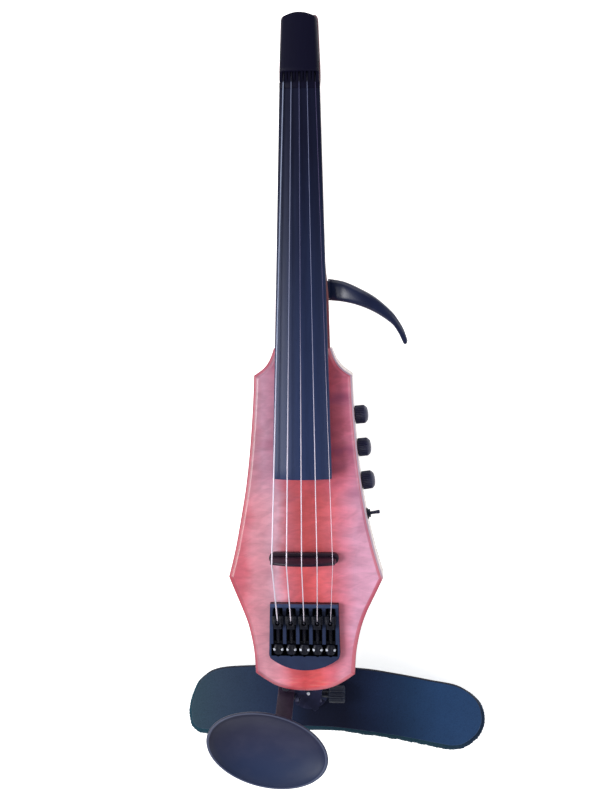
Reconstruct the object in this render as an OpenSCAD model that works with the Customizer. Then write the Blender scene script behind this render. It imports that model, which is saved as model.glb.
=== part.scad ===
// Headless solid-body five-string electric violin with chin rest and shoulder rest.
// Millimetres. Every piece is drawn in the instrument's own frame: x to the treble side,
// y toward the head, z out of the top, origin on the body top under the bridge.
// The module lying() then lays the whole instrument on its back.

/* [Strings] */
// Distance from nut to bridge
scale_length = 328; // [300:1:360]
// Spacing of neighbouring strings at the nut
nut_pitch = 5.46; // [4.5:0.01:7]
// Spacing of neighbouring strings at the bridge
bridge_pitch = 10.69; // [9:0.01:13]
// Spacing of neighbouring tuners
tuner_pitch = 9.47; // [9:0.01:12]
// Height of the middle string over the body top at the nut
nut_string_z = 9.2; // [7:0.1:12]
// Height of the middle string over the body top at the bridge
bridge_string_z = 26; // [20:0.5:32]
// Radii of the five strings from bass to treble
string_radius = [0.55, 0.45, 0.38, 0.32, 0.2];

/* [Body] */
// Depth from body top to body back
body_depth = 32; // [26:1:40]
// Thickness of the figured maple top plate
top_thick = 5; // [3:0.5:8]
// Waist line of the side from shoulder corner to widest corner, as [x, y]
upper_side = [[34.8, 130.7], [35.4, 116], [36.6, 98], [38.7, 74], [41.6, 50], [45.9, 25], [50, 4], [54.8, -15.3]];
// Side from widest corner to lower corner, as [x, y]
lower_side = [[54.8, -15.3], [50.6, -26], [45.7, -38], [41.3, -50], [38.5, -62], [36.9, -73], [36.1, -86.6]];
// Curve from the neck out to the shoulder corner, as [x, y]
neck_flare = [[20.4, 150], [23.6, 141.5], [28, 135.6], [34.8, 130.7]];
// Tail end from lower corner to the middle, as [x, y]
tail_end = [[36.1, -86.6], [28, -92.2], [19.5, -96.6], [9.5, -98.9], [0, -99.4]];

/* [Neck] */
// Half width of the fingerboard at the nut
board_half_nut = 13.98; // [12:0.1:16]
// Half width of the fingerboard at its end over the body
board_half_end = 20.74; // [18:0.1:24]
// Where the fingerboard ends over the body
board_end_y = 58.9; // [40:1:120]
// Radius of the fingerboard face and of the bridge crown
board_radius = 42; // [38:1:60]
// Height of the fingerboard face at the nut
board_face_nut = 8.2; // [6:0.1:10]
// Height of the fingerboard face at its end
board_face_end = 18.5; // [14:0.5:22]
// Height of the glue line under the board at the nut
glue_nut = 0.2; // [-2:0.1:2]
// Height of the glue line under the board at its end
glue_end = 8.5; // [6:0.5:12]
// Apex of the rounded head
head_end = 378.6; // [360:1:400]
// Neck back radius where the neck meets the body
neck_radius_heel = 18.9; // [17:0.1:21]
// Neck back radius at the head
neck_radius_head = 12.75; // [11:0.1:14]
// Height of the middle of the neck's rounded back
neck_axis_z = 2; // [0:0.5:4]

/* [Tuners] */
// Height of the tuner frame over the body top
tuner_proud = 5; // [3:0.5:8]
// Width of each tuner channel
channel_wide = 5.9; // [5:0.1:7]
// Height of the tuner screw axis
screw_z = 1.5; // [0:0.1:3]
// Radius of the tuner screw
screw_r = 2; // [1.5:0.1:2.5]
// Outer radius of a tuner knob
tuner_knob_r = 4.4; // [3.5:0.1:4.6]

/* [Controls] */
// Height of the control axes
control_z = -15; // [-20:0.5:-12]
// Radius of a control knob
knob_r = 6.7; // [5:0.1:8]
// Length of a control knob up to its dome
knob_long = 7.6; // [5:0.1:10]
// Positions along the side of the three knobs and the switch
control_y = [101.2, 77.5, 53.3, 29.2];
// Outward direction of the side at each control, in degrees from x
control_turn = [5, 5.5, 8, 9];

/* [Rests] */
// Height of the tilt axis of the shoulder rest
tilt_z = -40.5; // [-44:0.5:-38]
// Tilt axis behind the bridge line
tilt_y = -116; // [-122:1:-110]
// Drop of the shoulder rest's ends below its middle
rest_drop = 16; // [0:1:30]
// Thickness of the foam pad
pad_thick = 14; // [8:1:20]
// Half length and half width of the chin cup
cup_half = [44.6, 27.4];
// Turn of the chin cup's long axis, in degrees
cup_turn = -12.5; // [-40:0.5:0]
// Middle of the chin cup
cup_mid = [-26.6, -137.2];
// Pivot of the chin cup
cup_pivot = [-16.4, -134];

/* [Hidden] */
$fn = 48;
run_fit = 0.05;
gap = 0.3;
lie_tilt = -8.36;
origin_shift = [-18.975, -98.41, 65.716];
board_slope = (board_face_end - board_face_nut) / (scale_length - board_end_y);
glue_slope = (glue_end - glue_nut) / (scale_length - board_end_y);
maple = [0.86, 0.72, 0.5];
figured = [0.78, 0.28, 0.2];
ebony = [0.08, 0.08, 0.1];
black = [0.12, 0.12, 0.14];
dark_metal = [0.2, 0.22, 0.27];
steel = [0.75, 0.76, 0.78];
foam = [0.1, 0.13, 0.2];
green = [0.1, 0.4, 0.2];

function unit(v) = v / max(norm(v), 0.000001);
function clamp(i, n) = min(max(i, 0), n - 1);
function spline(a, b, c, d, t) =
    0.5 * (2 * b + (c - a) * t + (2 * a - 5 * b + 4 * c - d) * t * t
    + (3 * b - a - 3 * c + d) * t * t * t);
function curve(p, n) = [for (i = [0:len(p) - 2], k = [0:n - 1])
    spline(p[clamp(i - 1, len(p))], p[i], p[i + 1], p[clamp(i + 2, len(p))], k / n)];
function closed_curve(p, n) = [for (i = [0:len(p) - 1], k = [0:n - 1])
    spline(p[(i - 1 + len(p)) % len(p)], p[i], p[(i + 1) % len(p)], p[(i + 2) % len(p)], k / n)];

body_half = concat(curve(neck_flare, 4), curve(upper_side, 3), curve(lower_side, 3),
    curve(tail_end, 4), [tail_end[4]]);
half_count = len(body_half);
body_ring = concat(body_half, [for (i = [half_count - 2:-1:0]) [-body_half[i][0], body_half[i][1]]]);

function right_normal(a, b) = let (d = unit(b - a)) [d[1], -d[0]];
function inset_point(p, i, d) = let (
    n = len(p),
    a = right_normal(p[clamp(i - 1, n)], p[clamp(i, n)]),
    b = right_normal(p[clamp(i, n)], p[clamp(i + 1, n)]),
    m = unit(a + b))
    (i == 0) ? [p[0][0] - d, p[0][1]] :
    (i == n - 1) ? [p[i][0] + d, p[i][1]] :
    p[i] + d / max(0.6, m * a) * m;
function inset(p, d) = d == 0 ? p : [for (i = [0:len(p) - 1]) inset_point(p, i, d)];

// A stack of matching closed rings with a single point closing each end.
module round_stack(rings, low, high) {
    n = len(rings[0]);
    last = len(rings) - 1;
    total = n * (last + 1);
    walls = [for (k = [0:last - 1], i = [0:n - 1], s = [0:1]) let (
        j = (i + 1) % n,
        lo = k * n,
        hi = (k + 1) * n)
        s == 0 ? [hi + i, lo + i, lo + j] : [hi + i, lo + j, hi + j]];
    starts = [for (i = [0:n - 1]) [total, (i + 1) % n, i]];
    ends = [for (i = [0:n - 1]) [total + 1, last * n + i, last * n + (i + 1) % n]];
    polyhedron(points = concat([for (r = rings, q = r) q], [low, high]), faces = concat(walls, starts, ends));
}

// Lays the instrument on its back, resting on its head and shoulder rest.
module lying() {
    translate(origin_shift) rotate([lie_tilt, 0, 0]) children();
}

module rod(a, b, r) {
    d = b - a;
    translate(a) rotate([0, acos(d[2] / norm(d)), atan2(d[1], d[0])]) cylinder(h = norm(d), r = r);
}

// A cylinder along y from y0 to y1.
module along_y(x, y0, y1, z, r) {
    translate([x, y0, z]) rotate([-90, 0, 0]) cylinder(h = y1 - y0, r = r);
}

// A cylinder along x from x0 to x1.
module along_x(x0, x1, y, z, r) {
    translate([x0, y, z]) rotate([0, 90, 0]) cylinder(h = x1 - x0, r = r);
}

module up(x, y, z0, z1, r) {
    translate([x, y, z0]) cylinder(h = z1 - z0, r = r);
}

// A block given by its two opposite corners.
module block(a, b) {
    translate(a) cube(b - a);
}

// A profile of [y, z] points extruded from x0 to x1.
module side_profile(x0, x1, p) {
    translate([x0, 0, 0]) rotate([90, 0, 90]) linear_extrude(height = x1 - x0) polygon(p);
}

// A plan of [x, y] points extruded from z0 to z1.
module plan(p, z0, z1) {
    translate([0, 0, z0]) linear_extrude(height = z1 - z0) polygon(p);
}

function side_x(y) = lookup(y, [for (p = upper_side) [p[1], p[0]]]);

// Places a control on the treble side with its own z pointing out of the side.
module on_side(i, out) {
    a = control_turn[i];
    translate([side_x(control_y[i]), control_y[i], control_z])
        rotate([0, 0, a]) rotate([0, 90, 0]) translate([0, 0, out]) children();
}

// Strings -----------------------------------------------------------------
function crown_drop(x) = board_radius - sqrt(board_radius * board_radius - x * x);
nut_crest = nut_string_z - 0.5;
bridge_crest = bridge_string_z - 0.4;
function nut_point(i) = let (x = (i - 2) * nut_pitch)
    [x, scale_length + 4.2, nut_crest - crown_drop(x) + string_radius[i] + 0.08];
function bridge_point(i) = let (x = (i - 2) * bridge_pitch)
    [x, -0.8, bridge_crest - crown_drop(x) + string_radius[i] + 0.14];
function anchor_point(i) = [(i - 2) * nut_pitch * 0.97, 342, 5.6];
function tuner_point(i) = [(i - 2) * tuner_pitch, -46.5, 6.8];

module one_string(i) {
    r = string_radius[i];
    rod(anchor_point(i), nut_point(i), r * 0.96);
    rod(nut_point(i), bridge_point(i), r);
    rod(bridge_point(i), tuner_point(i), r * 0.96);
    translate(nut_point(i)) sphere(r = r + 0.05);
    translate(bridge_point(i)) sphere(r = r + 0.05);
    translate(tuner_point(i)) sphere(r = 1.25);
    translate(anchor_point(i)) sphere(r = 1.2);
}

module string_1() lying() color(steel) one_string(0);
module string_2() lying() color(steel) one_string(1);
module string_3() lying() color(steel) one_string(2);
module string_4() lying() color(steel) one_string(3);
module string_5() lying() color(steel) one_string(4);

// Body ----------------------------------------------------------------------
tuner_arc_r = 38.97;
function tuner_plan(m) = concat(
    [[-25.6 - m, -71], [-24.6 - m, -33.2 + m], [24.6 + m, -33.2 + m], [25.6 + m, -71]],
    [for (i = [0:16]) let (a = -51 - i * 78 / 16)
        [(tuner_arc_r + m) * cos(a), -43.03 + (tuner_arc_r + m) * sin(a)]]);

control_cavity = [[14, 112], [29.4, 112], [31, 88], [33.5, 66], [36, 48], [39, 26], [40.5, 14], [40.5, -2], [14, -2]];
control_cover = [[12, 119], [31, 119], [31.6, 112], [33, 88], [35.6, 66], [38.2, 48], [41.2, 26], [43, 12],
    [43, -8], [12, -8]];
cover_screw_at = [[16, 115.6], [28, 115.6], [17, -5], [38, -5]];
neck_screw_at = [[-6, 108], [6, 108], [-6, 129], [6, 129]];
bracket_screw_at = [[-7, -68], [7, -68], [0, -90]];
door_hinge = [29.2, -30.2];
tenon_half = 11;
platform_step = 3;

module side_bores() {
    for (i = [0:2]) {
        on_side(i, -12) cylinder(h = 20, r = 3.45);
        on_side(i, -2.6) cylinder(h = 10, r = 5.3);
    }
    on_side(3, -12) cylinder(h = 20, r = 3.05);
    on_side(3, -1) cylinder(h = 10, r = 4.1);
}

module jack_place() {
    translate([-side_x(62), 62, -18]) rotate([0, 0, 173]) rotate([0, 90, 0]) children();
}

module body_core() lying() color(maple) difference() {
    plan(body_ring, -body_depth, -top_thick);
    along_x(-40, 40, 160, -40, 24);
    block([-tenon_half, 100, -16], [tenon_half, 151, 0]);
    plan(tuner_plan(0.1), -13, 0);
    plan(control_cavity, -body_depth - 1, -8.5);
    plan(control_cover, -body_depth - 1, -body_depth + 2.2);
    for (p = cover_screw_at) up(p[0], p[1], -body_depth, -22, 1.3);
    for (p = neck_screw_at) {
        up(p[0], p[1], -body_depth - 1, -15, 2.1);
        up(p[0], p[1], -body_depth - 1, -body_depth + 3, 4.3);
    }
    for (p = bracket_screw_at) up(p[0], p[1], -body_depth - 1, -19, 1.6);
    side_bores();
    jack_place() translate([0, 0, -26]) cylinder(h = 30, r = 7.7);
    jack_place() translate([0, 0, -2]) cylinder(h = 10, r = 9.7);
    block([-40.2, -26.5, -body_depth - 1], [-10.2, 31.4, -11.6]);
    along_x(-22, 16, 62, -22, 2);
    along_x(-12, 16, 20, -17, 2);
    up(18.5, 1.2, -12, 0, 1.8);
}

module body_top() lying() color(figured) difference() {
    plan(body_ring, -top_thick, 0);
    plan(board_plan(112, 160, 0.1 - platform_step), -10, 2);
    plan(tuner_plan(0.1), -13, 2);
    up(18.5, 1.2, -12, 2, 1.8);
}

// Neck, head and fingerboard --------------------------------------------------
function board_half(y) = board_half_nut + (scale_length - y) * (board_half_end - board_half_nut) / (scale_length - board_end_y);
function glue_z(y) = glue_nut + max(0, scale_length - y) * glue_slope;
function board_plan(y0, y1, m) = [[-board_half(y0) - m, y0], [-board_half(y1) - m, y1], [board_half(y1) + m, y1],
    [board_half(y0) + m, y0]];
function head_plan(m) = concat([[-board_half(300) - 4, 140], [-board_half(300) - 4, 300], [-board_half(340) - m, 340]],
    [for (i = [0:10]) let (x = -12.1 - m + i * (24.2 + 2 * m) / 10) [x, head_end - 3.4 * pow(x / 12.1, 2) + m]],
    [[board_half(340) + m, 340], [board_half(300) + 4, 300], [board_half(300) + 4, 140]]);
hook_tongue = [[8.4, 184.8], [8.4, 197.4], [19, 197.4], [19, 184.8]];

module neck() lying() color(maple) difference() {
    union() {
        intersection() {
            along_y(0, 150, head_end + 1, neck_axis_z, neck_radius_heel);
            translate([0, 150, neck_axis_z]) rotate([-90, 0, 0])
                cylinder(h = head_end + 0.5 - 150, r1 = neck_radius_heel, r2 = neck_radius_head);
            side_profile(-30, 30, [[150, -30], [390, -30], [390, glue_nut], [scale_length, glue_nut], [150, glue_z(150)]]);
            plan(head_plan(0.3), -30, 30);
        }
        intersection() {
            plan(board_plan(112, 150, -platform_step), -top_thick, 20);
            side_profile(-30, 30, [[112, -top_thick], [150, -top_thick], [150, glue_z(150)], [112, glue_z(112)]]);
        }
        block([-tenon_half, 100, -16], [tenon_half, 150, -top_thick]);
    }
    block([-3, 118, -8], [3, 325, 12]);
    plan(hook_tongue, -3.2, 3.2);
    up(13.6, 191, -20, 4, 1.6);
    up(13.6, 191, -30, -9, 3.2);
    for (p = neck_screw_at) up(p[0], p[1], -17, -8.5, 1.6);
}

module truss_rod() lying() color(steel) intersection() {
    union() {
        block([-2.9, 119, -7.8], [2.9, 322, -3.6]);
        block([-2.9, 119, -3.6], [2.9, 130, -0.5]);
        along_y(0, 122, 324, -1.6, 1.9);
    }
    block([-4, 100, -9], [4, 326, 5]);
}

module neck_screws() lying() color(steel) for (p = neck_screw_at) {
    up(p[0], p[1], -body_depth + 0.6, -8.6, 1.55);
    difference() {
        up(p[0], p[1], -body_depth + 0.6, -body_depth + 3, 4.1);
        translate([p[0] - 3, p[1] - 0.5, -body_depth]) cube([6, 1, 1.4]);
        translate([p[0] - 0.5, p[1] - 3, -body_depth]) cube([1, 6, 1.4]);
    }
}

module fingerboard() lying() color(ebony) intersection() {
    plan(board_plan(board_end_y, scale_length, 0), -10, 40);
    side_profile(-30, 30, [[board_end_y - 2, glue_z(board_end_y - 2)], [scale_length + 2, glue_z(scale_length + 2)],
        [scale_length + 2, 30], [board_end_y - 2, 30]]);
    rod([0, 40, board_face_end + (board_end_y - 40) * board_slope - board_radius],
        [0, 340, board_face_nut - 12 * board_slope - board_radius], board_radius);
}

module nut() lying() color(ebony) intersection() {
    plan(board_plan(scale_length, scale_length + 4, 0), glue_nut, 30);
    along_y(0, scale_length - 1, scale_length + 5, nut_crest - board_radius, board_radius);
}

module string_anchor() lying() color(black) difference() {
    plan(board_plan(scale_length + 4, 346, -0.3), glue_nut, 7.2);
    for (i = [0:4]) {
        rod(anchor_point(i) - [0, 0, 0], nut_point(i), 0.9);
        translate(anchor_point(i)) sphere(r = 1.5);
        up(anchor_point(i)[0], 342, 5.6, 9, 1.5);
    }
}

module head_cap() lying() color(ebony) difference() {
    intersection() {
        plan(head_plan(-0.2), glue_nut, 10.6);
        block([-20, 339.2, 0], [20, 400, 20]);
        along_y(0, 330, 400, 10.6 - 44, 44);
    }
    block([-board_half(346), 330, -1], [board_half(346), 346.3, 7.5]);
}

// Bridge -----------------------------------------------------------------------
module bridge_foot() lying() color(black) difference() {
    union() {
        block([-20.9, -4.1, 0], [20.9, 4.1, 5]);
        up(-20.9, 0, 0, 5, 4.1);
        up(20.9, 0, 0, 5, 4.1);
    }
    block([-22.3, -1.75, 3], [22.3, 1.75, 6]);
}

module bridge() lying() color(black) intersection() {
    union() {
        block([-22, -1.7, 3], [22, 1.7, 12]);
        intersection() {
            along_y(0, -3, 3, bridge_crest - board_radius, board_radius);
            block([-23.6, -3, 9], [23.6, 3, 40]);
        }
    }
    side_profile(-30, 30, [[-1.7, 2], [1.7, 2], [1.7, 8], [0.75, 30], [-0.75, 30], [-1.7, 8]]);
}

// Tuners -------------------------------------------------------------------------
module tuner_frame() lying() color(dark_metal) difference() {
    plan(tuner_plan(0), -12.8, tuner_proud);
    for (i = [0:4]) {
        x = (i - 2) * tuner_pitch;
        block([x - channel_wide / 2, -60.7, -8], [x + channel_wide / 2, -36, 10]);
        block([x - channel_wide / 2, -63, screw_z + screw_r + 0.5], [x + channel_wide / 2, -60, 10]);
        along_y(x, -64, -34.4, screw_z, screw_r + run_fit);
        along_y(x, -71.4, -62.6, screw_z, 4.9);
        block([x - 4.9, -71.4, screw_z], [x + 4.9, -62.6, 10]);
        up(x, -70.6, screw_z, 10, 3.4);
    }
}

module carriage(i) difference() {
    x = (i - 2) * tuner_pitch;
    union() {
        block([x - 2.65, -51.5, -7.4], [x + 2.65, -41.2, 5.2]);
        block([x - 2.65, -50.5, 5.2], [x + 2.65, -43.4, 8.8]);
    }
    along_y(x, -60, -30, screw_z, screw_r + run_fit);
    block([x - 0.8, -46.5, 4.6], [x + 0.8, -40, 12]);
    up(x, -46.5, 4.6, 12, 1.6);
}

module tuner_carriage_1() lying() color(black) carriage(0);
module tuner_carriage_2() lying() color(black) carriage(1);
module tuner_carriage_3() lying() color(black) carriage(2);
module tuner_carriage_4() lying() color(black) carriage(3);
module tuner_carriage_5() lying() color(black) carriage(4);

lobe_r = 1.25;
lobe_out = tuner_knob_r - 1.1;

module tuner_screw(i) {
    x = (i - 2) * tuner_pitch;
    along_y(x, -63, -34.8, screw_z, screw_r);
    along_y(x, -70.6, -63, screw_z, tuner_knob_r - 1);
    for (a = [45:90:315]) {
        along_y(x + lobe_out * cos(a), -70.2, -63.4, screw_z + lobe_out * sin(a), lobe_r);
    }
}

module tuner_knob_1() lying() color(black) tuner_screw(0);
module tuner_knob_2() lying() color(black) tuner_screw(1);
module tuner_knob_3() lying() color(black) tuner_screw(2);
module tuner_knob_4() lying() color(black) tuner_screw(3);
module tuner_knob_5() lying() color(black) tuner_screw(4);

// Controls ------------------------------------------------------------------------
module knob(i) on_side(i, 0) difference() {
    union() {
        translate([0, 0, 0.9]) cylinder(h = knob_long, r = knob_r);
        intersection() {
            translate([0, 0, knob_long + 3.3 - 11.5]) sphere(r = 11.5);
            translate([0, 0, 0.9]) cylinder(h = 12, r = knob_r);
        }
        translate([0, 0, -8.4]) cylinder(h = 14, r = 2.5);
    }
    difference() {
        translate([0, 0, 0]) cylinder(h = 2.6, r = 5.6);
        translate([0, 0, -1]) cylinder(h = 5, r = 2.5);
    }
    for (a = [0:20:340]) rotate([0, 0, a]) translate([knob_r + 0.28, 0, -1]) cylinder(h = knob_long + 1.2, r = 0.7);
}

module volume_knob() lying() color(black) knob(0);
module bass_knob() lying() color(black) knob(1);
module treble_knob() lying() color(black) knob(2);

module pot(i) on_side(i, 0) difference() {
    union() {
        translate([0, 0, -14.8]) cylinder(h = 7.6, r = 6.1);
        translate([0, 0, -7.4]) cylinder(h = 7.2, r = 3.4);
        translate([0, 0, -2.5]) cylinder(h = 2, r = 5.1);
        for (y = [-2.5, 0, 2.5]) translate([5, y - 0.4, -13.6]) cube([4, 0.8, 0.5]);
    }
    translate([0, 0, -9]) cylinder(h = 12, r = 2.5 + run_fit);
}

module volume_pot() lying() color(steel) pot(0);
module bass_pot() lying() color(steel) pot(1);
module treble_pot() lying() color(steel) pot(2);

module switch_body() lying() color(steel) on_side(3, 0) difference() {
    union() {
        translate([-3.9, -6, -18.6]) cube([7.8, 12, 10]);
        translate([0, 0, -9]) cylinder(h = 11.4, r = 3);
        translate([0, 0, -0.9]) cylinder(h = 1.8, r = 4);
    }
    translate([0, 0, 0.2]) sphere(r = 1.6 + run_fit);
    translate([0, 0, 0.2]) rotate([0, 90, 0]) cylinder(h = 4.2, r = 0.5 + run_fit, center = true);
    translate([0, 0, 0.2]) cylinder(h = 4, r1 = 1.5, r2 = 2.5);
}

module switch_lever() lying() color(steel) on_side(3, 0) {
    translate([0, 0, 0.2]) sphere(r = 1.6);
    translate([0, 0, 0.2]) rotate([0, 90, 0]) cylinder(h = 4, r = 0.5, center = true);
    translate([0, 0, 0.4]) cylinder(h = 9, r1 = 0.85, r2 = 1.15);
    translate([0, 0, 9.4]) sphere(r = 1.15);
}

module circuit_board() lying() color(green) {
    block([16, -0.5, -24.2], [31.5, 42, -22.6]);
    block([18, 5, -22.6], [26, 13, -20.4]);
    block([18, 20, -22.6], [28, 34, -19.6]);
    block([18, 1, -29.4], [21, 4, -24.2]);
    block([26, 37, -29.4], [29, 40, -24.2]);
}

module output_jack() lying() color(black) jack_place() difference() {
    union() {
        translate([0, 0, -24]) cylinder(h = 23, r = 7.4);
        translate([0, 0, -1.9]) cylinder(h = 2.1, r = 9.5);
    }
    translate([0, 0, -21]) cylinder(h = 30, r = 3.25);
}

module battery_box() lying() color(black) difference() {
    block([-40, -26.3, -body_depth + 0.1], [-10.4, 31.2, -11.8]);
    block([-38.9, -25, -body_depth - 1], [-11.5, 26.4, -12.9]);
    block([-38.9, 25, -body_depth - 1], [-11.5, 30, -28.4]);
    along_x(-39.4, -11, door_hinge[0] - 1.6, door_hinge[1], 0.85);
}

module battery() lying() color(dark_metal) {
    block([-38.4, -22.4, -30.2], [-12, 22.8, -13.3]);
    along_y(-31.5, 22.8, 25.4, -21.6, 2.7);
    along_y(-19, 22.8, 25.4, -21.6, 3.4);
}

module battery_door() lying() color(black) {
    block([-38.6, -24.7, -body_depth + 0.1], [-11.8, 26, -body_depth + 1.5]);
    block([-38.6, 26, -body_depth + 0.5], [-11.8, 27.4, -body_depth + 2]);
    along_x(-39.3, -11.1, door_hinge[0] - 1.6, door_hinge[1], 0.8);
}

module cavity_cover() lying() color(black) difference() {
    plan(control_cover, -body_depth + 0.2, -body_depth + 2.1);
    for (p = cover_screw_at) {
        up(p[0], p[1], -body_depth - 1, -20, 1.5);
        up(p[0], p[1], -body_depth - 1, -body_depth + 1.3, 2.5);
    }
}

module cover_screws() lying() color(steel) for (p = cover_screw_at) {
    up(p[0], p[1], -body_depth + 1, -23, 1.25);
    up(p[0], p[1], -body_depth + 0.3, -body_depth + 1.3, 2.4);
}

// Hand hook -----------------------------------------------------------------------
hook_outer = [[19.2, 198.6], [29.7, 196.5], [40.8, 191.6], [51.9, 185.2], [63, 175.4], [68.6, 167.7],
    [71.7, 161.8], [74.5, 153.7]];
hook_inner = [[71.7, 151.6], [69.6, 156.2], [67.2, 160.9], [62.6, 167], [51.9, 174.4], [40.7, 179.4],
    [29.6, 182.3], [19.2, 183.4]];

module hook_arm() lying() color(black) difference() {
    union() {
        intersection() {
            plan(concat(curve(hook_outer, 3), [hook_outer[7], [73.7, 152]], curve(hook_inner, 3), [hook_inner[7]]),
                -4.2, 4.2);
            along_y(46, 140, 210, -52, 56);
        }
        plan([[8.6, 185], [8.6, 197.2], [20, 197.2], [20, 185]], -3, 3);
    }
    up(13.6, 191, -5, 1.2, 1.3);
}

module hook_screw() lying() color(steel) {
    up(13.6, 191, -9.4, 1, 1.25);
    up(13.6, 191, -11.4, -9.1, 3);
}

// Rests ----------------------------------------------------------------------------
bracket_z = -body_depth - 3.6;

module rest_bracket() lying() color(dark_metal) difference() {
    union() {
        plan([[-12, -60], [12, -60], [12, -96], [10.5, -111], [7.6, -125], [5, -126.6], [-5.1, -118.4],
            [-8.6, -112.8], [-22.5, -111], [-22.5, -98], [-12, -92]], bracket_z, -body_depth);
        for (x = [-10, 7]) {
            along_x(x, x + 3, tilt_y, tilt_z, 7);
            block([x, tilt_y - 7, tilt_z], [x + 3, tilt_y + 7, bracket_z + 0.5]);
        }
    }
    along_x(-20, 20, tilt_y, tilt_z, 2.55);
    for (p = bracket_screw_at) {
        up(p[0], p[1], -50, -20, 1.7);
        up(p[0], p[1], bracket_z - 1, bracket_z + 1.8, 3.2);
    }
    up(-16.4, -106.5, -50, -20, 1.7);
}

module bracket_screws() lying() color(steel) {
    for (p = bracket_screw_at) {
        up(p[0], p[1], bracket_z + 0.6, -20, 1.55);
        up(p[0], p[1], bracket_z + 0.1, bracket_z + 1.8, 3.1);
    }
}

module bracket_stud() lying() color(steel) difference() {
    union() {
        up(-0.3, -108.6, -body_depth, -body_depth + 1.6, 2.6);
        up(-0.3, -108.6, -body_depth, -body_depth + 2.2, 1.6);
    }
    translate([-3.3, -108.9, -body_depth + 1.4]) cube([6, 0.7, 2]);
}

module chin_arm() lying() color(dark_metal) difference() {
    union() {
        side_profile(-22.5, -10.3, [[-101.3, -body_depth], [-101.3, -body_depth + 3.2], [-110.2, -body_depth + 3.2],
            [-123, 4.8], [-141, 4.8], [-141, 1.8], [-125.2, 1.8], [-112.4, -body_depth]]);
    }
    up(-16.4, -106.5, -50, -20, 1.7);
    up(cup_pivot[0], cup_pivot[1], 0, 8, 3 + run_fit);
}

module chin_arm_screw() lying() color(steel) {
    up(-16.4, -106.5, bracket_z - 1.9, -body_depth + 3.2, 1.6);
    up(-16.4, -106.5, -body_depth + 3.2, -body_depth + 5.2, 3);
    up(-16.4, -106.5, bracket_z - 2.1, bracket_z, 3);
}

function oval(s, z) = [for (i = [0:63]) let (a = -i * 360 / 64, u = cup_half[0] * s * cos(a), v = cup_half[1] * s * sin(a))
    [cup_mid[0] + u * cos(cup_turn) - v * sin(cup_turn), cup_mid[1] + u * sin(cup_turn) + v * cos(cup_turn), z]];

module chin_cup() lying() color(black) union() {
    round_stack([oval(0.3, 6.1), oval(0.6, 7.2), oval(0.82, 10), oval(0.95, 13.6), oval(1, 16.6), oval(0.995, 17.9),
        oval(0.965, 18.6), oval(0.925, 17.9), oval(0.84, 15.4), oval(0.64, 12.6), oval(0.4, 11.1), oval(0.18, 10.5)],
        [cup_mid[0], cup_mid[1], 5.8], [cup_mid[0], cup_mid[1], 10.3]);
    up(cup_pivot[0], cup_pivot[1], 5.1, 8.5, 9);
    up(cup_pivot[0], cup_pivot[1], -7.4, 8, 3);
}

module chin_nut() lying() color(black) difference() {
    union() {
        up(cup_pivot[0], cup_pivot[1], -6.6, 1.5, 5.6);
        for (a = [0:30:330]) up(cup_pivot[0] + 5.5 * cos(a), cup_pivot[1] + 5.5 * sin(a), -6.6, -1, 0.9);
    }
    up(cup_pivot[0], cup_pivot[1], -10, 8, 3 + run_fit);
}

rest_mid_x = 17.6;
bar_inset = 1.7;
bar_lift = 1.5;
rest_chord = 114;
rest_arc_r = (rest_chord * rest_chord + rest_drop * rest_drop) / (2 * rest_drop);
rest_top_z = -50.7;
rest_shape = [[-56, -101.3], [-76, -105.6], [-87.3, -113.5], [-93.4, -124.3], [-97.6, -137.5], [-98.3, -147],
    [-95.7, -156.3], [-85, -160.6], [-56.5, -156.1], [-16.3, -152.2], [16.7, -151.7], [44.7, -155.1],
    [72.7, -160.1], [100.9, -167.1], [111, -169.2], [121.5, -167.6], [131.8, -159.8], [136.3, -148.8],
    [134.5, -135.6], [128, -125.5], [115, -116.3], [94, -110.6], [66, -104.1], [38, -99.6], [-8, -97.5]];

// A strip that follows the shoulder, between two depths under its upper face.
module shoulder_strip(d0, d1) difference() {
    along_y(rest_mid_x, -200, -60, rest_top_z - rest_arc_r, rest_arc_r - d0);
    along_y(rest_mid_x, -201, -59, rest_top_z - rest_arc_r, rest_arc_r - d1);
}

module shoulder_hinge() lying() color(dark_metal) difference() {
    union() {
        along_x(-6.7, 6.7, tilt_y, tilt_z, 4.5);
        up(0, tilt_y, -50.3, -48.1, 15);
        up(0, tilt_y, -49, tilt_z, 4.2);
        up(0, tilt_y, -57.4, -49, 4);
        up(0, tilt_y, -57.4, -56, 7);
    }
    along_x(-20, 20, tilt_y, tilt_z, 2.55);
}

module shoulder_bar() lying() color(foam) difference() {
    intersection() {
        translate([0, bar_lift, 0]) plan(inset_closed(closed_curve(rest_shape, 3), bar_inset), -90, -40);
        shoulder_strip(0, 4);
    }
    up(0, tilt_y, -70, -40, 4.05);
    up(0, tilt_y, -70, -55.6, 7.4);
    up(0, tilt_y, rest_top_z - 0.1, -40, 15.4);
}

module shoulder_pad() lying() color(foam) difference() {
    intersection() {
        plan(closed_curve(rest_shape, 3), -110, -40);
        shoulder_strip(4, 4 + pad_thick);
    }
    up(0, tilt_y, -62, -40, 7.8);
}

function inset_closed(p, d) = let (n = len(p)) [for (i = [0:n - 1]) let (
    a = right_normal(p[(i - 1 + n) % n], p[i]),
    b = right_normal(p[i], p[(i + 1) % n]),
    m = unit(a + b)) p[i] + d / max(0.6, m * a) * m];

module shoulder_screw() lying() color(black) {
    along_x(-14.6, 15.5, tilt_y, tilt_z, 2.5);
    along_x(15, 27.6, tilt_y, tilt_z, 5.6);
    for (a = [0:36:324]) along_x(15.4, 27.2, tilt_y + 5.4 * cos(a), tilt_z + 5.4 * sin(a), 1);
    along_x(-14.6, -10.6, tilt_y, tilt_z, 4.4);
}

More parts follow.
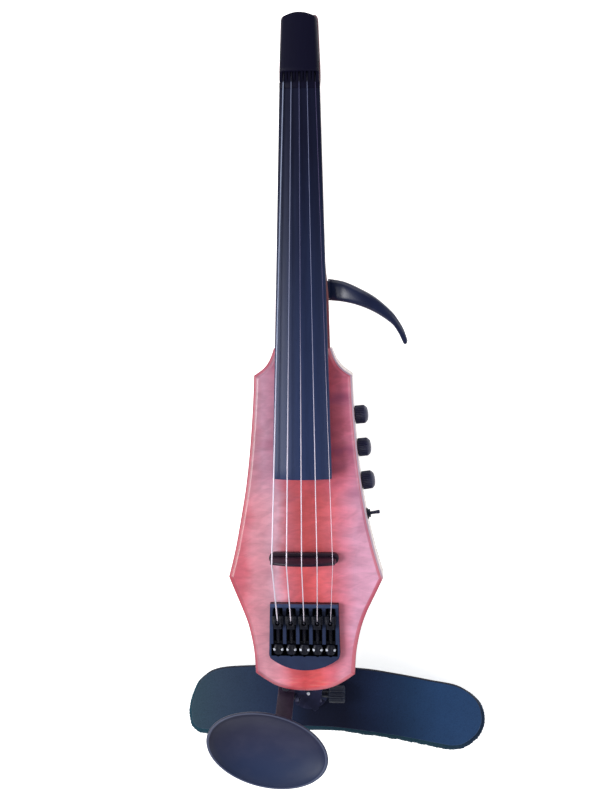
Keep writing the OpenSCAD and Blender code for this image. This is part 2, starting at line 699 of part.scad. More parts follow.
body_core();
body_top();
neck();
truss_rod();
neck_screws();
fingerboard();
nut();
string_anchor();
head_cap();
string_1();
string_2();
string_3();
string_4();
string_5();
bridge_foot();
bridge();
tuner_frame();
tuner_carriage_1();
tuner_carriage_2();
tuner_carriage_3();
tuner_carriage_4();
tuner_carriage_5();
tuner_knob_1();
tuner_knob_2();
tuner_knob_3();
tuner_knob_4();
tuner_knob_5();
volume_knob();
bass_knob();
treble_knob();
volume_pot();
bass_pot();
treble_pot();
switch_body();
switch_lever();
circuit_board();
output_jack();
battery_box();
battery();
battery_door();
cavity_cover();
cover_screws();
hook_arm();
hook_screw();
rest_bracket();
bracket_screws();
bracket_stud();
chin_arm();
chin_arm_screw();
chin_cup();
chin_nut();
shoulder_hinge();
shoulder_bar();
shoulder_pad();
shoulder_screw();
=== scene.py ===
"""Five-string headless electric violin, seen from above. Shapes are in the instrument's own millimetres."""

import math

import bmesh
import bpy
from mathutils import Euler, Matrix, Vector
from mathutils.kdtree import KDTree


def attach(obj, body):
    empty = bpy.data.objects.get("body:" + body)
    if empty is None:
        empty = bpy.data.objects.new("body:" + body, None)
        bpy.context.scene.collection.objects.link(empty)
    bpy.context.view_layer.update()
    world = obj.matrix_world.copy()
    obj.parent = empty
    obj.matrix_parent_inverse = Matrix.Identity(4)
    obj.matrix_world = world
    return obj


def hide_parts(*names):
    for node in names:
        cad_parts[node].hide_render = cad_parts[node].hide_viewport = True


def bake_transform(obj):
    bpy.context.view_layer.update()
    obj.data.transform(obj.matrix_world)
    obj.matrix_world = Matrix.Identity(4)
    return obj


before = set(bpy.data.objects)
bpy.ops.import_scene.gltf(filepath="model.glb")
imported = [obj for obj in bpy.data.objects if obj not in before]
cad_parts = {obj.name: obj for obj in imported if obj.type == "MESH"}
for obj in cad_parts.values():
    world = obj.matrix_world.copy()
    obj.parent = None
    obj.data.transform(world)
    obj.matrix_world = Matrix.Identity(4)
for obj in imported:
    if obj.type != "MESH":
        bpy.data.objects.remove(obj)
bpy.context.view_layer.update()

# The instrument's own frame: millimetres, x treble side, y toward the head, z out of the top.
TILT = math.radians(-8.36)
SHIFT = Vector((-18.975, -98.41, 65.716))
LAY = Matrix.Translation(SHIFT) @ Matrix.Rotation(TILT, 4, "X")
PLACE = Matrix.Scale(0.001, 4) @ LAY
SOFT_STEPS = 20  # frames of the pad's cloth run

# Dimensions in millimetres: those of the CAD source, and the visual ones that follow the photograph closer.
SCALE_LENGTH = 328
NUT_PITCH, BRIDGE_PITCH, TUNER_PITCH = 5.46, 10.69, 9.47
STRING_RADIUS = (0.55, 0.45, 0.38, 0.32, 0.2)
NUT_CREST, BRIDGE_CREST = 8.7, 25.6
BODY_DEPTH, TOP_THICK, BEVEL = 32, 5, 3.4
CORNER_OUT, CORNER_Y = 1.7, -15.3
BOARD_NUT, BOARD_END, BOARD_END_Y, BOARD_RADIUS = 13.98, 20.74, 58.9, 42
FACE_NUT, FACE_END, GLUE_NUT, GLUE_END = 8.2, 18.5, 0.2, 8.5
HEAD_END, NECK_START, HEAD_START, HEEL_OUT = 378.6, 150, 374.5, 1.5
SCREW_Z, SCREW_HOLE, STUD_OUT = 1.5, 2.05, 3.3
CONTROL_Z = -15
CONTROL_Y = (101.2, 77.5, 53.3, 29.2)
CONTROL_TURN = (5, 5.5, 8, 9)
JACK_Y, JACK_Z, JACK_TURN = 62, -18, 173
TILT_Y, TILT_Z = -116, -40.5
CUP_HALF, CUP_TURN, CUP_MID = (44.6, 27.4), math.radians(-12.5), (-26.6, -137.2)
CHIN_POST = (-16.4, -134)
REST_TOP_Z, REST_MID_X, REST_MID_Y, REST_CHORD, REST_DROP = -50.7, 17.6, -127, 114, 16
BAR_INSET, BAR_LIFT = 2.9, 2.6
PAD_START, PAD_DRAW = 1.1, 0.42
PAD_GRAIN, PAD_PUSH, RIB_PITCH, RIB_DEEP = 1.7, 1.6, 2.6, 0.28
REST_ARC = (REST_CHORD ** 2 + REST_DROP ** 2) / (2 * REST_DROP)
UPPER_SIDE = [(34.8, 130.7), (35.4, 116), (36.6, 98), (38.7, 74), (41.6, 50), (45.9, 25), (50, 4),
              (54.8, CORNER_Y)]
LOWER_SIDE = [(54.8, CORNER_Y), (50.6, -26), (45.7, -38), (41.3, -50), (38.5, -62), (36.9, -73), (36.1, -86.6)]
NECK_FLARE = [(20.4, 150), (23.6, 141.5), (28, 135.6), (34.8, 130.7)]
TAIL_END = [(36.1, -86.6), (28, -92.2), (19.5, -96.6), (9.5, -98.9), (0, -99.4)]
HOOK_OUTER = [(18.4, 198.7), (29.7, 196.5), (40.8, 191.6), (51.9, 185.2), (63, 175.4), (68.6, 167.7),
              (71.7, 161.8), (74.5, 153.7)]
HOOK_INNER = [(18.4, 183.5), (29.6, 182.3), (40.7, 179.4), (51.9, 174.4), (62.6, 167), (67.2, 160.9),
              (69.6, 156.2), (71.7, 151.6)]
REST_SHAPE = [(-56, -101.3), (-76, -105.6), (-87.3, -113.5), (-93.4, -124.3), (-97.6, -137.5), (-98.3, -147),
              (-95.7, -156.3), (-85, -160.6), (-56.5, -156.1), (-16.3, -152.2), (16.7, -151.7),
              (44.7, -155.1), (72.7, -160.1), (100.9, -167.1), (111, -169.2), (121.5, -167.6),
              (131.8, -159.8), (136.3, -148.8), (134.5, -135.6), (128, -125.5), (115, -116.3), (94, -110.6),
              (66, -104.1), (38, -99.6), (-8, -97.5)]
CONTROL_CAVITY = [(14, 112), (29.4, 112), (31, 88), (33.5, 66), (36, 48), (39, 26), (40.5, 14), (40.5, -2),
                  (14, -2)]
CONTROL_COVER = [(12, 119), (31, 119), (31.6, 112), (33, 88), (35.6, 66), (38.2, 48), (41.2, 26), (43, 12),
                 (43, -8), (12, -8)]
CLOUDS = [(27, 114, 20, 7), (28, 77, 20, 8), (38, 45, 12, 8)]
CAMERA_SPOT, CAMERA_TURN = (0.054251, 0.189084, 0.781191), (-0.096982, 0.070951, -0.008922)
NECK_SCREWS = [(-6, 108), (6, 108), (-6, 129), (6, 129)]


# Curves ------------------------------------------------------------------------------------------
def spline(a, b, c, d, t):
    """A point between b and c on the smooth curve through all four."""
    return tuple(0.5 * (2 * q + (r - p) * t + (2 * p - 5 * q + 4 * r - s) * t ** 2
                        + (3 * q - p - 3 * r + s) * t ** 3) for p, q, r, s in zip(a, b, c, d))


def curve(points, steps):
    """A smooth open curve through the points, with steps points to each stretch."""
    last = len(points) - 1
    out = [spline(points[max(i - 1, 0)], points[i], points[i + 1], points[min(i + 2, last)], k / steps)
           for i in range(last) for k in range(steps)]
    return out + [tuple(points[-1])]


def closed_curve(points, steps):
    n = len(points)
    return [spline(points[i - 1], points[i], points[(i + 1) % n], points[(i + 2) % n], k / steps)
            for i in range(n) for k in range(steps)]


def inset(points, distance, fixed_ends=False):
    """A clockwise outline moved inward; with fixed_ends its first and last points only move sideways."""
    out, n = [], len(points)
    for i, p in enumerate(points):
        before, after = points[i - 1], points[(i + 1) % n]
        if fixed_ends and i in (0, n - 1):
            side = 1 if p[0] > 0 else -1
            out.append((p[0] - side * distance, p[1]))
            continue
        normals = []
        for a, b in ((before, p), (p, after)):
            dx, dy = b[0] - a[0], b[1] - a[1]
            size = max(math.hypot(dx, dy), 1e-6)
            normals.append((dy / size, -dx / size))
        mx, my = normals[0][0] + normals[1][0], normals[0][1] + normals[1][1]
        size = max(math.hypot(mx, my), 1e-6)
        mx, my = mx / size, my / size
        reach = distance / max(0.6, mx * normals[0][0] + my * normals[0][1])
        out.append((p[0] + reach * mx, p[1] + reach * my))
    return out


def cross(a, b):
    return a[0] * b[1] - a[1] * b[0]


def untangled(ring, window=14):
    """Where an inset outline crosses itself at a tight corner, its points close up on the crossing."""
    ring, n = list(ring), len(ring)
    for i in range(n - 2):
        a, b = ring[i], ring[i + 1]
        ab = (b[0] - a[0], b[1] - a[1])
        for j in range(min(n - 2, i + window), i + 1, -1):
            c, d = ring[j], ring[j + 1]
            cd, ac = (d[0] - c[0], d[1] - c[1]), (c[0] - a[0], c[1] - a[1])
            slant = cross(ab, cd)
            if abs(slant) < 1e-12:
                continue
            t, u = cross(ac, cd) / slant, cross(ac, ab) / slant
            if 0 < t < 1 and 0 < u < 1:
                ring[i + 1:j + 1] = [(a[0] + t * ab[0], a[1] + t * ab[1])] * (j - i)
                break
    return ring


def smooth_step(x, low, high):
    t = min(max((x - low) / (high - low), 0), 1)
    return t * t * (3 - 2 * t)


def signed_power(value, exponent):
    return abs(value) ** exponent * (1 if value > 0 else -1)


def angles(count, start=0.0, turn=360.0):
    """Evenly spaced angles, given in degrees and returned in radians."""
    return [math.radians(start + turn * k / count) for k in range(count)]


def grooves(turns, depth, low, high):
    """Rounded grooves round a knob between two heights, for turned()."""
    return lambda a, height: -depth * (0.5 - 0.5 * math.cos(turns * a)) if low < height < high else 0


# Forms: (vertices, faces) ------------------------------------------------------------------------
def merged(*forms):
    verts, faces = [], []
    for v, f in forms:
        n = len(verts)
        verts += [tuple(p) for p in v]
        faces += [tuple(i + n for i in face) for face in f]
    return verts, faces


def moved(form, matrix):
    return [tuple(matrix @ Vector(p)) for p in form[0]], form[1]


def loft(rings):
    """A closed form through rings of equal length."""
    n = len(rings[0])
    verts = [tuple(p) for ring in rings for p in ring]
    faces = [(k * n + i, k * n + (i + 1) % n, (k + 1) * n + (i + 1) % n, (k + 1) * n + i)
             for k in range(len(rings) - 1) for i in range(n)]
    return verts, faces + [tuple(range(n - 1, -1, -1)), tuple(range((len(rings) - 1) * n, len(rings) * n))]


def prism(points, low, high):
    return loft([[(x, y, z) for x, y in points] for z in (low, high)])


def taper(y0, half0, y1, half1):
    """A symmetrical outline whose half width goes from half0 at y0 to half1 at y1."""
    return [(-half0, y0), (-half1, y1), (half1, y1), (half0, y0)]


def block(a, b):
    return prism([(a[0], a[1]), (b[0], a[1]), (b[0], b[1]), (a[0], b[1])], a[2], b[2])


def turned(profile, segments=48, ripple=None):
    """A turned form about z from (radius, height) points; ripple(angle, height) adds to the radius."""
    rings = []
    for radius, height in profile:
        reach = [(a, max(radius + (ripple(a, height) if ripple else 0), 0.001)) for a in angles(segments)]
        rings.append([(r * math.cos(a), r * math.sin(a), height) for a, r in reach])
    return loft(rings)


def axis(start, direction):
    """A matrix that carries z onto direction and the origin to start."""
    turn = Vector((0, 0, 1)).rotation_difference(Vector(direction).normalized())
    return Matrix.Translation(Vector(start)) @ turn.to_matrix().to_4x4()


def rod(a, b, radius, segments=32):
    a, b = Vector(a), Vector(b)
    return moved(turned([(radius, 0), (radius, (b - a).length)], segments), axis(a, b - a))


def upright(x, y, low, high, radius, segments=32):
    return rod((x, y, low), (x, y, high), radius, segments)


def ball(centre, radius, segments=20):
    profile = [(radius * math.sin(math.pi * k / 10), -radius * math.cos(math.pi * k / 10)) for k in range(11)]
    return moved(turned(profile, segments), Matrix.Translation(Vector(centre)))


def tube(path, radius, sides):
    """A round form along a path of vectors; radius gives its size at a point."""
    rings = []
    for i, p in enumerate(path):
        ahead = (path[min(i + 1, len(path) - 1)] - path[max(i - 1, 0)]).normalized()
        across = ahead.cross(Vector((0, 0, 1))).normalized()
        lift = across.cross(ahead).normalized()
        rings.append([tuple(p + radius(p) * (math.cos(a) * across + math.sin(a) * lift))
                      for a in angles(sides)])
    return loft(rings)


# Objects -----------------------------------------------------------------------------------------
def shape(name, form):
    mesh = bpy.data.meshes.new(name)
    mesh.from_pydata(form[0], [], form[1])
    work = bmesh.new()
    work.from_mesh(mesh)
    bmesh.ops.remove_doubles(work, verts=work.verts, dist=0.0005)
    bmesh.ops.recalc_face_normals(work, faces=work.faces)
    work.to_mesh(mesh)
    work.free()
    obj = bpy.data.objects.new(name, mesh)
    bpy.context.scene.collection.objects.link(obj)
    return obj


def apply(obj):
    bpy.context.view_layer.update()
    graph = bpy.context.evaluated_depsgraph_get()
    mesh = bpy.data.meshes.new_from_object(obj.evaluated_get(graph))
    old = obj.data
    obj.modifiers.clear()
    obj.data = mesh
    mesh.name = obj.name
    bpy.data.meshes.remove(old)
    return obj


def cut(obj, *forms, operation="DIFFERENCE"):
    tools = []
    for i, form in enumerate(forms):
        tool = shape(f"{obj.name}_tool_{i}", form)
        step = obj.modifiers.new(f"cut_{i}", "BOOLEAN")
        step.operation, step.solver, step.object = operation, "EXACT", tool
        tools.append(tool)
    apply(obj)
    for tool in tools:
        bpy.data.objects.remove(tool)
    return obj


def rounded(obj, width, segments=3, angle=35):
    step = obj.modifiers.new("round", "BEVEL")
    step.width, step.segments = width, segments
    step.limit_method, step.angle_limit = "ANGLE", math.radians(angle)
    step.use_clamp_overlap = True
    return apply(obj)


def finer(obj, levels):
    step = obj.modifiers.new("finer", "SUBSURF")
    step.levels = step.render_levels = levels
    return apply(obj)


def put(obj, body, look, nodes=(), smooth=35):
    """Places a finished shape in the shared frame, gives it its finish and fixes it to a body."""
    mesh = obj.data
    mesh.transform(PLACE)
    mesh.shade_smooth()
    mesh.set_sharp_from_angle(angle=math.radians(smooth))
    mesh.materials.clear()
    mesh.materials.append(look.mat)
    if body:
        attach(obj, body)
    if nodes:
        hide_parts(*nodes)
    return obj


def carried(node, look, edge):
    """A CAD node that stays: softened edges and its own finish."""
    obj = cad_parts[node]
    weld = obj.modifiers.new("weld", "WELD")
    weld.merge_threshold = 0.00001
    step = obj.modifiers.new("round", "BEVEL")
    step.width, step.segments = edge * 0.001, 2
    step.limit_method, step.angle_limit = "ANGLE", math.radians(30)
    for slot in range(max(len(obj.material_slots), 1)):
        if not obj.material_slots:
            obj.data.materials.append(look.mat)
        obj.material_slots[slot].link = "OBJECT"
        obj.material_slots[slot].material = look.mat


# Materials ---------------------------------------------------------------------------------------
def srgb(red, green, blue):
    def channel(v):
        v /= 255
        return v / 12.92 if v <= 0.04045 else ((v + 0.055) / 1.055) ** 2.4
    return channel(red), channel(green), channel(blue), 1.0


class Look:
    """A principled material with short names for the nodes that the finishes below use."""

    def __init__(self, name, colour, rough=0.5, metal=0.0, **fixed):
        self.mat = bpy.data.materials.new(name)
        self.mat.use_nodes = True
        self.mat.diffuse_color = srgb(*colour)
        self.tree = self.mat.node_tree
        self.shader = self.tree.nodes["Principled BSDF"]
        self.spot = None
        self.fill(self.shader, Base_Color=colour, Roughness=rough, Metallic=metal, **fixed)

    def feed(self, socket, value):
        """Links a socket to a node's output, or sets its number, vector or colour."""
        if isinstance(value, bpy.types.NodeSocket):
            self.tree.links.new(value, socket)
        else:
            socket.default_value = srgb(*value) if socket.type == "RGBA" else value

    def fill(self, node, **inputs):
        for key, value in inputs.items():
            self.feed(node.inputs[key.replace("_", " ")], value)

    def node(self, kind, settings=(), **inputs):
        made = self.tree.nodes.new(kind)
        for key, value in dict(settings).items():
            setattr(made, key, value)
        self.fill(made, **inputs)
        return made

    def where(self, stretch=1, lean=0.0):
        """The instrument's own millimetres, turned about z by lean and stretched."""
        if self.spot is None:
            coords = self.node("ShaderNodeTexCoord").outputs["Object"]
            self.spot = self.node("ShaderNodeMapping", Vector=coords, Location=LAY.inverted().to_translation(),
                                  Rotation=(-TILT, 0, 0), Scale=(1000, 1000, 1000)).outputs["Vector"]
        if stretch == 1:
            return self.spot
        stretch = stretch if isinstance(stretch, tuple) else (stretch, stretch, stretch)
        if lean:
            return self.node("ShaderNodeMapping", {"vector_type": "TEXTURE"}, Vector=self.spot,
                             Rotation=(0, 0, lean), Scale=[1 / v for v in stretch]).outputs["Vector"]
        return self.node("ShaderNodeMapping", Vector=self.spot, Scale=stretch).outputs["Vector"]

    def part(self, letter):
        return self.node("ShaderNodeSeparateXYZ", Vector=self.where()).outputs[letter]

    def noise(self, stretch, detail=2.0, rough=0.5, twist=0.0, lean=0.0):
        return self.node("ShaderNodeTexNoise", Vector=self.where(stretch, lean), Scale=1, Detail=detail,
                         Roughness=rough, Distortion=twist).outputs["Fac"]

    def cloud(self, x, y, wide, long):
        """A soft oval patch: 1 in its middle, 0 outside."""
        at = self.node("ShaderNodeMapping", Vector=self.where(), Location=(-x / wide, -y / long, 0),
                       Scale=(1 / wide, 1 / long, 0)).outputs["Vector"]
        ball_fade = self.node("ShaderNodeTexGradient", {"gradient_type": "SPHERICAL"}, Vector=at)
        return self.span(ball_fade.outputs["Fac"], 0, 0.8)

    def wave(self, stretch, scale=1.0, twist=0.0, detail=0.0, direction="X", profile="SIN"):
        kind = {"bands_direction": direction, "wave_profile": profile}
        return self.node("ShaderNodeTexWave", kind, Vector=self.where(stretch), Scale=scale, Distortion=twist,
                         Detail=detail).outputs["Fac"]

    def cells(self, stretch):
        return self.node("ShaderNodeTexVoronoi", Vector=self.where(stretch), Scale=1).outputs["Distance"]

    def math(self, operation, a, b=0.0):
        made = self.node("ShaderNodeMath", {"operation": operation})
        self.feed(made.inputs[0], a)
        self.feed(made.inputs[1], b)
        return made.outputs[0]

    def times(self, first, *others):
        """The product of masks and numbers."""
        for other in others:
            first = self.math("MULTIPLY", first, other)
        return first

    def shared(self, a, b, share=0.5):
        """share of a and the rest of b."""
        return self.math("ADD", self.times(a, share), self.times(b, 1 - share))

    def span(self, value, low, high, to_low=0.0, to_high=1.0, soft=True):
        kind = {"interpolation_type": "SMOOTHSTEP" if soft else "LINEAR"}
        return self.node("ShaderNodeMapRange", kind, Value=value, From_Min=low, From_Max=high, To_Min=to_low,
                         To_Max=to_high).outputs["Result"]

    def along(self, letter, low, high, *ends):
        """Runs from 0 to 1, or between the ends, as one coordinate goes from low to high."""
        return self.span(self.part(letter), low, high, *ends)

    def aside(self, low, high):
        """The same for the distance from the centre line."""
        return self.span(self.math("ABSOLUTE", self.part("X")), low, high)

    def mix(self, fac, a, b, blend="MIX"):
        made = self.node("ShaderNodeMix", {"data_type": "RGBA", "blend_type": blend})
        for place, value in ((0, fac), (6, a), (7, b)):
            self.feed(made.inputs[place], value)
        return made.outputs[2]

    def tint(self, under, colour, *masks):
        """under with colour laid over it where the product of the masks is high."""
        return self.mix(self.times(*masks), under, colour)

    def shade(self, colour, amount, low, high):
        """colour scaled by a grey that runs from low to high as amount goes from 0 to 1."""
        grey = self.span(amount, 0, 1, low, high, soft=False)
        mixed = self.node("ShaderNodeCombineColor", Red=grey, Green=grey, Blue=grey).outputs["Color"]
        return self.mix(1.0, colour, mixed, "MULTIPLY")

    def ramp(self, value, *stops):
        """Colour along value from (place, red, green, blue) stops."""
        made = self.node("ShaderNodeValToRGB", Fac=value)
        points = made.color_ramp.elements
        for point, (place, *tint) in ((points[1], stops[-1]), (points[0], stops[0])):
            point.position, point.color = place, srgb(*tint)
        for place, *tint in stops[1:-1]:
            points.new(place).color = srgb(*tint)
        return made.outputs["Color"]

    def colour(self, socket):
        self.feed(self.shader.inputs["Base Color"], socket)
        return self

    def rough(self, value, low, high):
        self.feed(self.shader.inputs["Roughness"], self.span(value, 0, 1, low, high, soft=False))
        return self

    def bump(self, height, distance, strength=1.0):
        """Adds relief, distance in millimetres, on top of any that is already there."""
        made = self.node("ShaderNodeBump", Height=height, Strength=strength, Distance=distance * 0.001)
        normal = self.shader.inputs["Normal"]
        if normal.links:
            self.feed(made.inputs["Normal"], normal.links[0].from_socket)
        self.feed(normal, made.outputs["Normal"])
        return self


def figured_maple():
    """Quilted maple stained red: orange-red down the middle, a painted lilac-pink reflection at the sides,
    redder at the bevel.
    """
    look = Look("figured_maple", (205, 96, 108), 0.34, Coat_Weight=0.4, Coat_Roughness=0.16, Coat_IOR=1.42)
    sway = look.times(look.math("SUBTRACT", look.noise((0.03, 0.05, 0.03), 3), 0.5), 15)
    x = look.span(look.math("ADD", look.part("X"), sway), -55, 55, soft=False)
    # Colour across the width in three regions; the lilac-pink toward the sides is a painted reflection over
    # the red stain.
    waist = look.ramp(x, (0, 186, 80, 95), (0.1, 204, 104, 118), (0.17, 212, 138, 152), (0.25, 208, 146, 161),
                      (0.32, 214, 162, 180), (0.385, 196, 102, 114), (0.5, 197, 80, 84), (0.6, 205, 90, 96),
                      (0.68, 220, 110, 122), (0.75, 224, 132, 154), (0.84, 220, 157, 184), (1, 224, 167, 194))
    shoulder = look.ramp(x, (0.16, 188, 118, 134), (0.24, 196, 143, 166), (0.32, 186, 126, 150),
                         (0.42, 200, 84, 94), (0.62, 196, 82, 98), (0.69, 198, 90, 110),
                         (0.745, 210, 104, 126), (0.8, 214, 120, 146), (0.86, 200, 122, 150),
                         (0.92, 190, 118, 146))
    tail = look.ramp(x, (0.15, 172, 92, 112), (0.24, 232, 160, 176), (0.33, 222, 144, 160),
                     (0.42, 194, 86, 94), (0.5, 184, 68, 72), (0.6, 200, 82, 86), (0.7, 210, 106, 122),
                     (0.77, 224, 146, 166), (0.86, 186, 120, 140))
    wood = look.mix(look.along("Y", 36, 66), waist, shoulder)
    wood = look.mix(look.along("Y", -62, -86), wood, tail)
    wood = look.shade(wood, look.times(look.along("Y", 8, -10), look.aside(24, 13)), 1.02, 1.36)
    # Quilt: soft pillows that lie at a slant, finer ripples inside them and a few dusky clouds.
    pillow = look.noise((0.05, 0.12, 0.1), 3, 0.55, 0.9, lean=0.3)
    ripple = look.noise((0.07, 0.3, 0.3), 2.5, 0.55, 0.8, lean=-0.15)
    wood = look.shade(wood, look.span(pillow, 0.32, 0.68), 0.89, 1.1)
    wood = look.shade(wood, look.span(ripple, 0.32, 0.68), 0.95, 1.05)
    dusk = look.span(look.noise((0.03, 0.07, 0.05), 1.5, 0.5, 0.6, lean=0.55), 0.52, 0.72)
    wood = look.tint(wood, (150, 74, 104), dusk, look.along("Y", -20, 70, 0.12, 0.4))
    for spot in CLOUDS:
        wood = look.tint(wood, (132, 62, 100), look.cloud(*spot), look.span(pillow, 0.3, 0.6, 0.1, 0.6))
    fibre = look.noise((1.6, 0.05, 1.6), 2, 0.6)
    wood = look.shade(wood, fibre, 0.96, 1.03)
    pores = look.span(look.noise((2.2, 0.5, 2.2), 1), 0.7, 0.8)
    wood = look.tint(wood, (120, 45, 60), pores, 0.18)
    # A painted highlight: a pale orange streak across the tail end.
    streak = look.span(look.noise((0.05, 0.7, 0.1)), 0.52, 0.64)
    wood = look.tint(wood, (232, 150, 140), look.along("Y", -84, -94), streak, 0.3)
    # The bevel: a red band on the treble side, painted shade on the bass side, a fine red line and a deeper
    # red rim all round, and a painted pale reflection in a strip along the treble edge.
    treble = look.along("X", 0, 10)
    band = look.mix(look.along("Y", -5, 25), (204, 66, 92), (172, 68, 110))
    wood = look.tint(wood, band, look.along("Z", -0.05, -0.3), treble, look.along("Y", 62, 30), 0.7)
    # Painted shade over the bass side's bevel.
    wood = look.shade(wood, look.times(look.along("Z", -0.01, -0.1), look.along("X", -5, -15)), 1.0, 0.74)
    wood = look.tint(wood, (190, 66, 84), look.along("Z", -0.7, -0.95), 0.5)
    wood = look.tint(wood, (150, 44, 66), look.along("Z", -1.55, -1.9), 0.7)
    # A painted pale reflection along the treble edge.
    strip = look.times(look.along("Z", -1.25, -1.5), treble, look.along("Y", -18, -12))
    look.colour(look.tint(wood, (176, 158, 178), strip, 0.85))
    look.rough(look.noise((0.25, 0.3, 0.2), 3), 0.3, 0.44)
    return look.bump(look.noise((0.03, 0.05, 0.05)), 0.2, 0.3).bump(fibre, 0.02, 0.3)


def light_maple():
    """Plain maple of the block and neck; the red stain of the top runs a little way onto the neck's heel."""
    look = Look("light_maple", (226, 200, 160), 0.36, Coat_Weight=0.35, Coat_Roughness=0.14)
    fibre = look.noise((1.4, 0.035, 1.4), 3, 0.6)
    wood = look.mix(look.wave((0.09, 0.004, 0.12), 1.0, 3.2, 2.0), (166, 148, 140), (188, 170, 160))
    wood = look.shade(wood, look.noise((0.05, 0.22, 0.06), 3, 0.55, 1.0), 0.9, 1.06)
    wood = look.shade(wood, fibre, 0.9, 1.06)
    wood = look.tint(wood, (150, 104, 66), look.span(look.noise((2.8, 0.35, 2.8), 1), 0.68, 0.8), 0.3)
    wood = look.tint(wood, (168, 62, 78), look.along("Y", 230, 168), look.along("Z", -9, -2), 0.85)
    look.colour(look.tint(wood, (150, 98, 116), look.along("Y", 320, 345), look.along("Z", -8, -2), 0.75))
    look.rough(fibre, 0.28, 0.46)
    return look.bump(fibre, 0.02, 0.4)


def ebony(name="ebony", base=(17, 20, 44), light=(46, 58, 94), low=0.34, high=0.5, coat=0.06, spec=0.14):
    """Dyed fingerboard wood, bluer and paler toward the bridge end, partly its own tone and partly a painted
    sheen.
    """
    look = Look(name, base, 0.35, Coat_Weight=coat, Coat_Roughness=0.25, Specular_IOR_Level=spec)
    fibre = look.noise((1.8, 0.03, 1.8), 3, 0.65)
    streak = look.math("SUBTRACT", look.noise((0.35, 0.012, 0.35), 3), 0.5)
    # Paler toward the bridge end: partly the wood's tone, partly a painted sheen.
    tone_and_sheen = look.math("ADD", look.along("Y", 330, 40), look.times(streak, 0.35))
    wood = look.shade(look.mix(tone_and_sheen, base, light), fibre, 0.8, 1.14)
    pores = look.span(look.noise((4.5, 0.4, 4.5), 1), 0.66, 0.76)
    look.colour(look.tint(wood, (12, 13, 22), pores, 0.4))
    look.rough(fibre, low, high)
    return look.bump(fibre, 0.02, 0.4)


def alloy(name, base, light, low=0.3, high=0.5, metal=0.75, pit=None):
    """Anodised metal: fine blasted grain, faint cloudiness and a painted highlight that pales the edges;
    given pit, painted highlights and painted shade on the tuner plate, whose pockets darken below pit.
    """
    look = Look(name, base, 0.4, metal)
    grain, cloud = look.noise(9, 2, 0.6), look.noise(0.12, 3)
    colour = look.shade(look.mix(look.span(cloud, 0.3, 0.75), base, light), grain, 0.82, 1.14)
    # A painted highlight: edges paled by pointiness.
    edges = look.node("ShaderNodeNewGeometry").outputs["Pointiness"]
    colour = look.tint(colour, (84, 98, 140), look.span(edges, 0.53, 0.62), 0.3)
    if pit is not None:
        # Painted highlights on the tuner plate: a strip along its top and a patch down its left side.
        lit = look.math("MAXIMUM", look.along("Y", -36.2, -35.2), look.cloud(-27, -55, 3.5, 24))
        colour = look.tint(colour, (86, 104, 148), lit, 0.5)
        # Painted shade: a dark band across the plate between the carriage heads.
        dim = look.times(look.along("Y", -37, -39), look.along("Y", -50, -47), look.aside(23.4, 22.6))
        colour = look.tint(colour, (8, 10, 26), dim, 0.75)
        # Painted shade in the pockets below pit.
        colour = look.tint(colour, (3, 4, 14), look.along("Z", pit, pit - 0.6))
    look.colour(colour)
    look.rough(look.shared(grain, cloud, 0.6), low, high)
    return look.bump(grain, 0.03, 0.5)


def plastic(name, base, light, low=0.35, high=0.6, fine=3.2, depth=0.03, spec=0.3):
    look = Look(name, base, Specular_IOR_Level=spec)
    grain, cloud = look.noise(fine, 3, 0.6), look.noise(0.06, 3)
    look.colour(look.shade(look.mix(look.span(cloud, 0.3, 0.7), base, light), grain, 0.85, 1.12))
    look.rough(look.shared(grain, cloud), low, high)
    return look.bump(grain, depth, 0.6)


def steel(name="steel", base=(196, 198, 204), low=0.16, high=0.34, metal=1.0):
    look = Look(name, base, 0.25, metal)
    brush, smear = look.noise((7, 1.2, 7), 3, 0.6), look.noise(0.3, 3)
    look.colour(look.shade(look.mix(smear, base, (168, 172, 182)), brush, 0.9, 1.06))
    look.rough(look.shared(brush, smear), low, high)
    return look.bump(brush, 0.01, 0.4)


def string_wire(k, nut_tone):
    """Polished wire, darker toward the nut, with painted shade at its ends where it enters its slots; the
    lower four show their winding.
    """
    look = Look(f"string_wire_{k}", (228, 230, 238), 0.3, 0.35)
    smear = look.noise((0.5, 0.08, 0.5), 3)
    colour = look.tint(look.mix(smear, (240, 232, 244), (222, 210, 230)), nut_tone, look.along("Y", 20, 190))
    # Painted shade at the ends, where the wire enters the anchor strip and the carriage.
    painted_slot_shade = look.math("MAXIMUM", look.along("Y", 331.5, 333), look.along("Y", -44.4, -45.4))
    colour = look.tint(colour, (34, 34, 50), painted_slot_shade)
    if k < 5:
        turn = look.wave(1, 1.2 + 0.25 * k, direction="Y")
        colour = look.shade(colour, turn, 0.93, 1.02)
        look.bump(turn, 0.01, 0.3)
    look.colour(colour)
    return look.rough(smear, 0.34, 0.5)


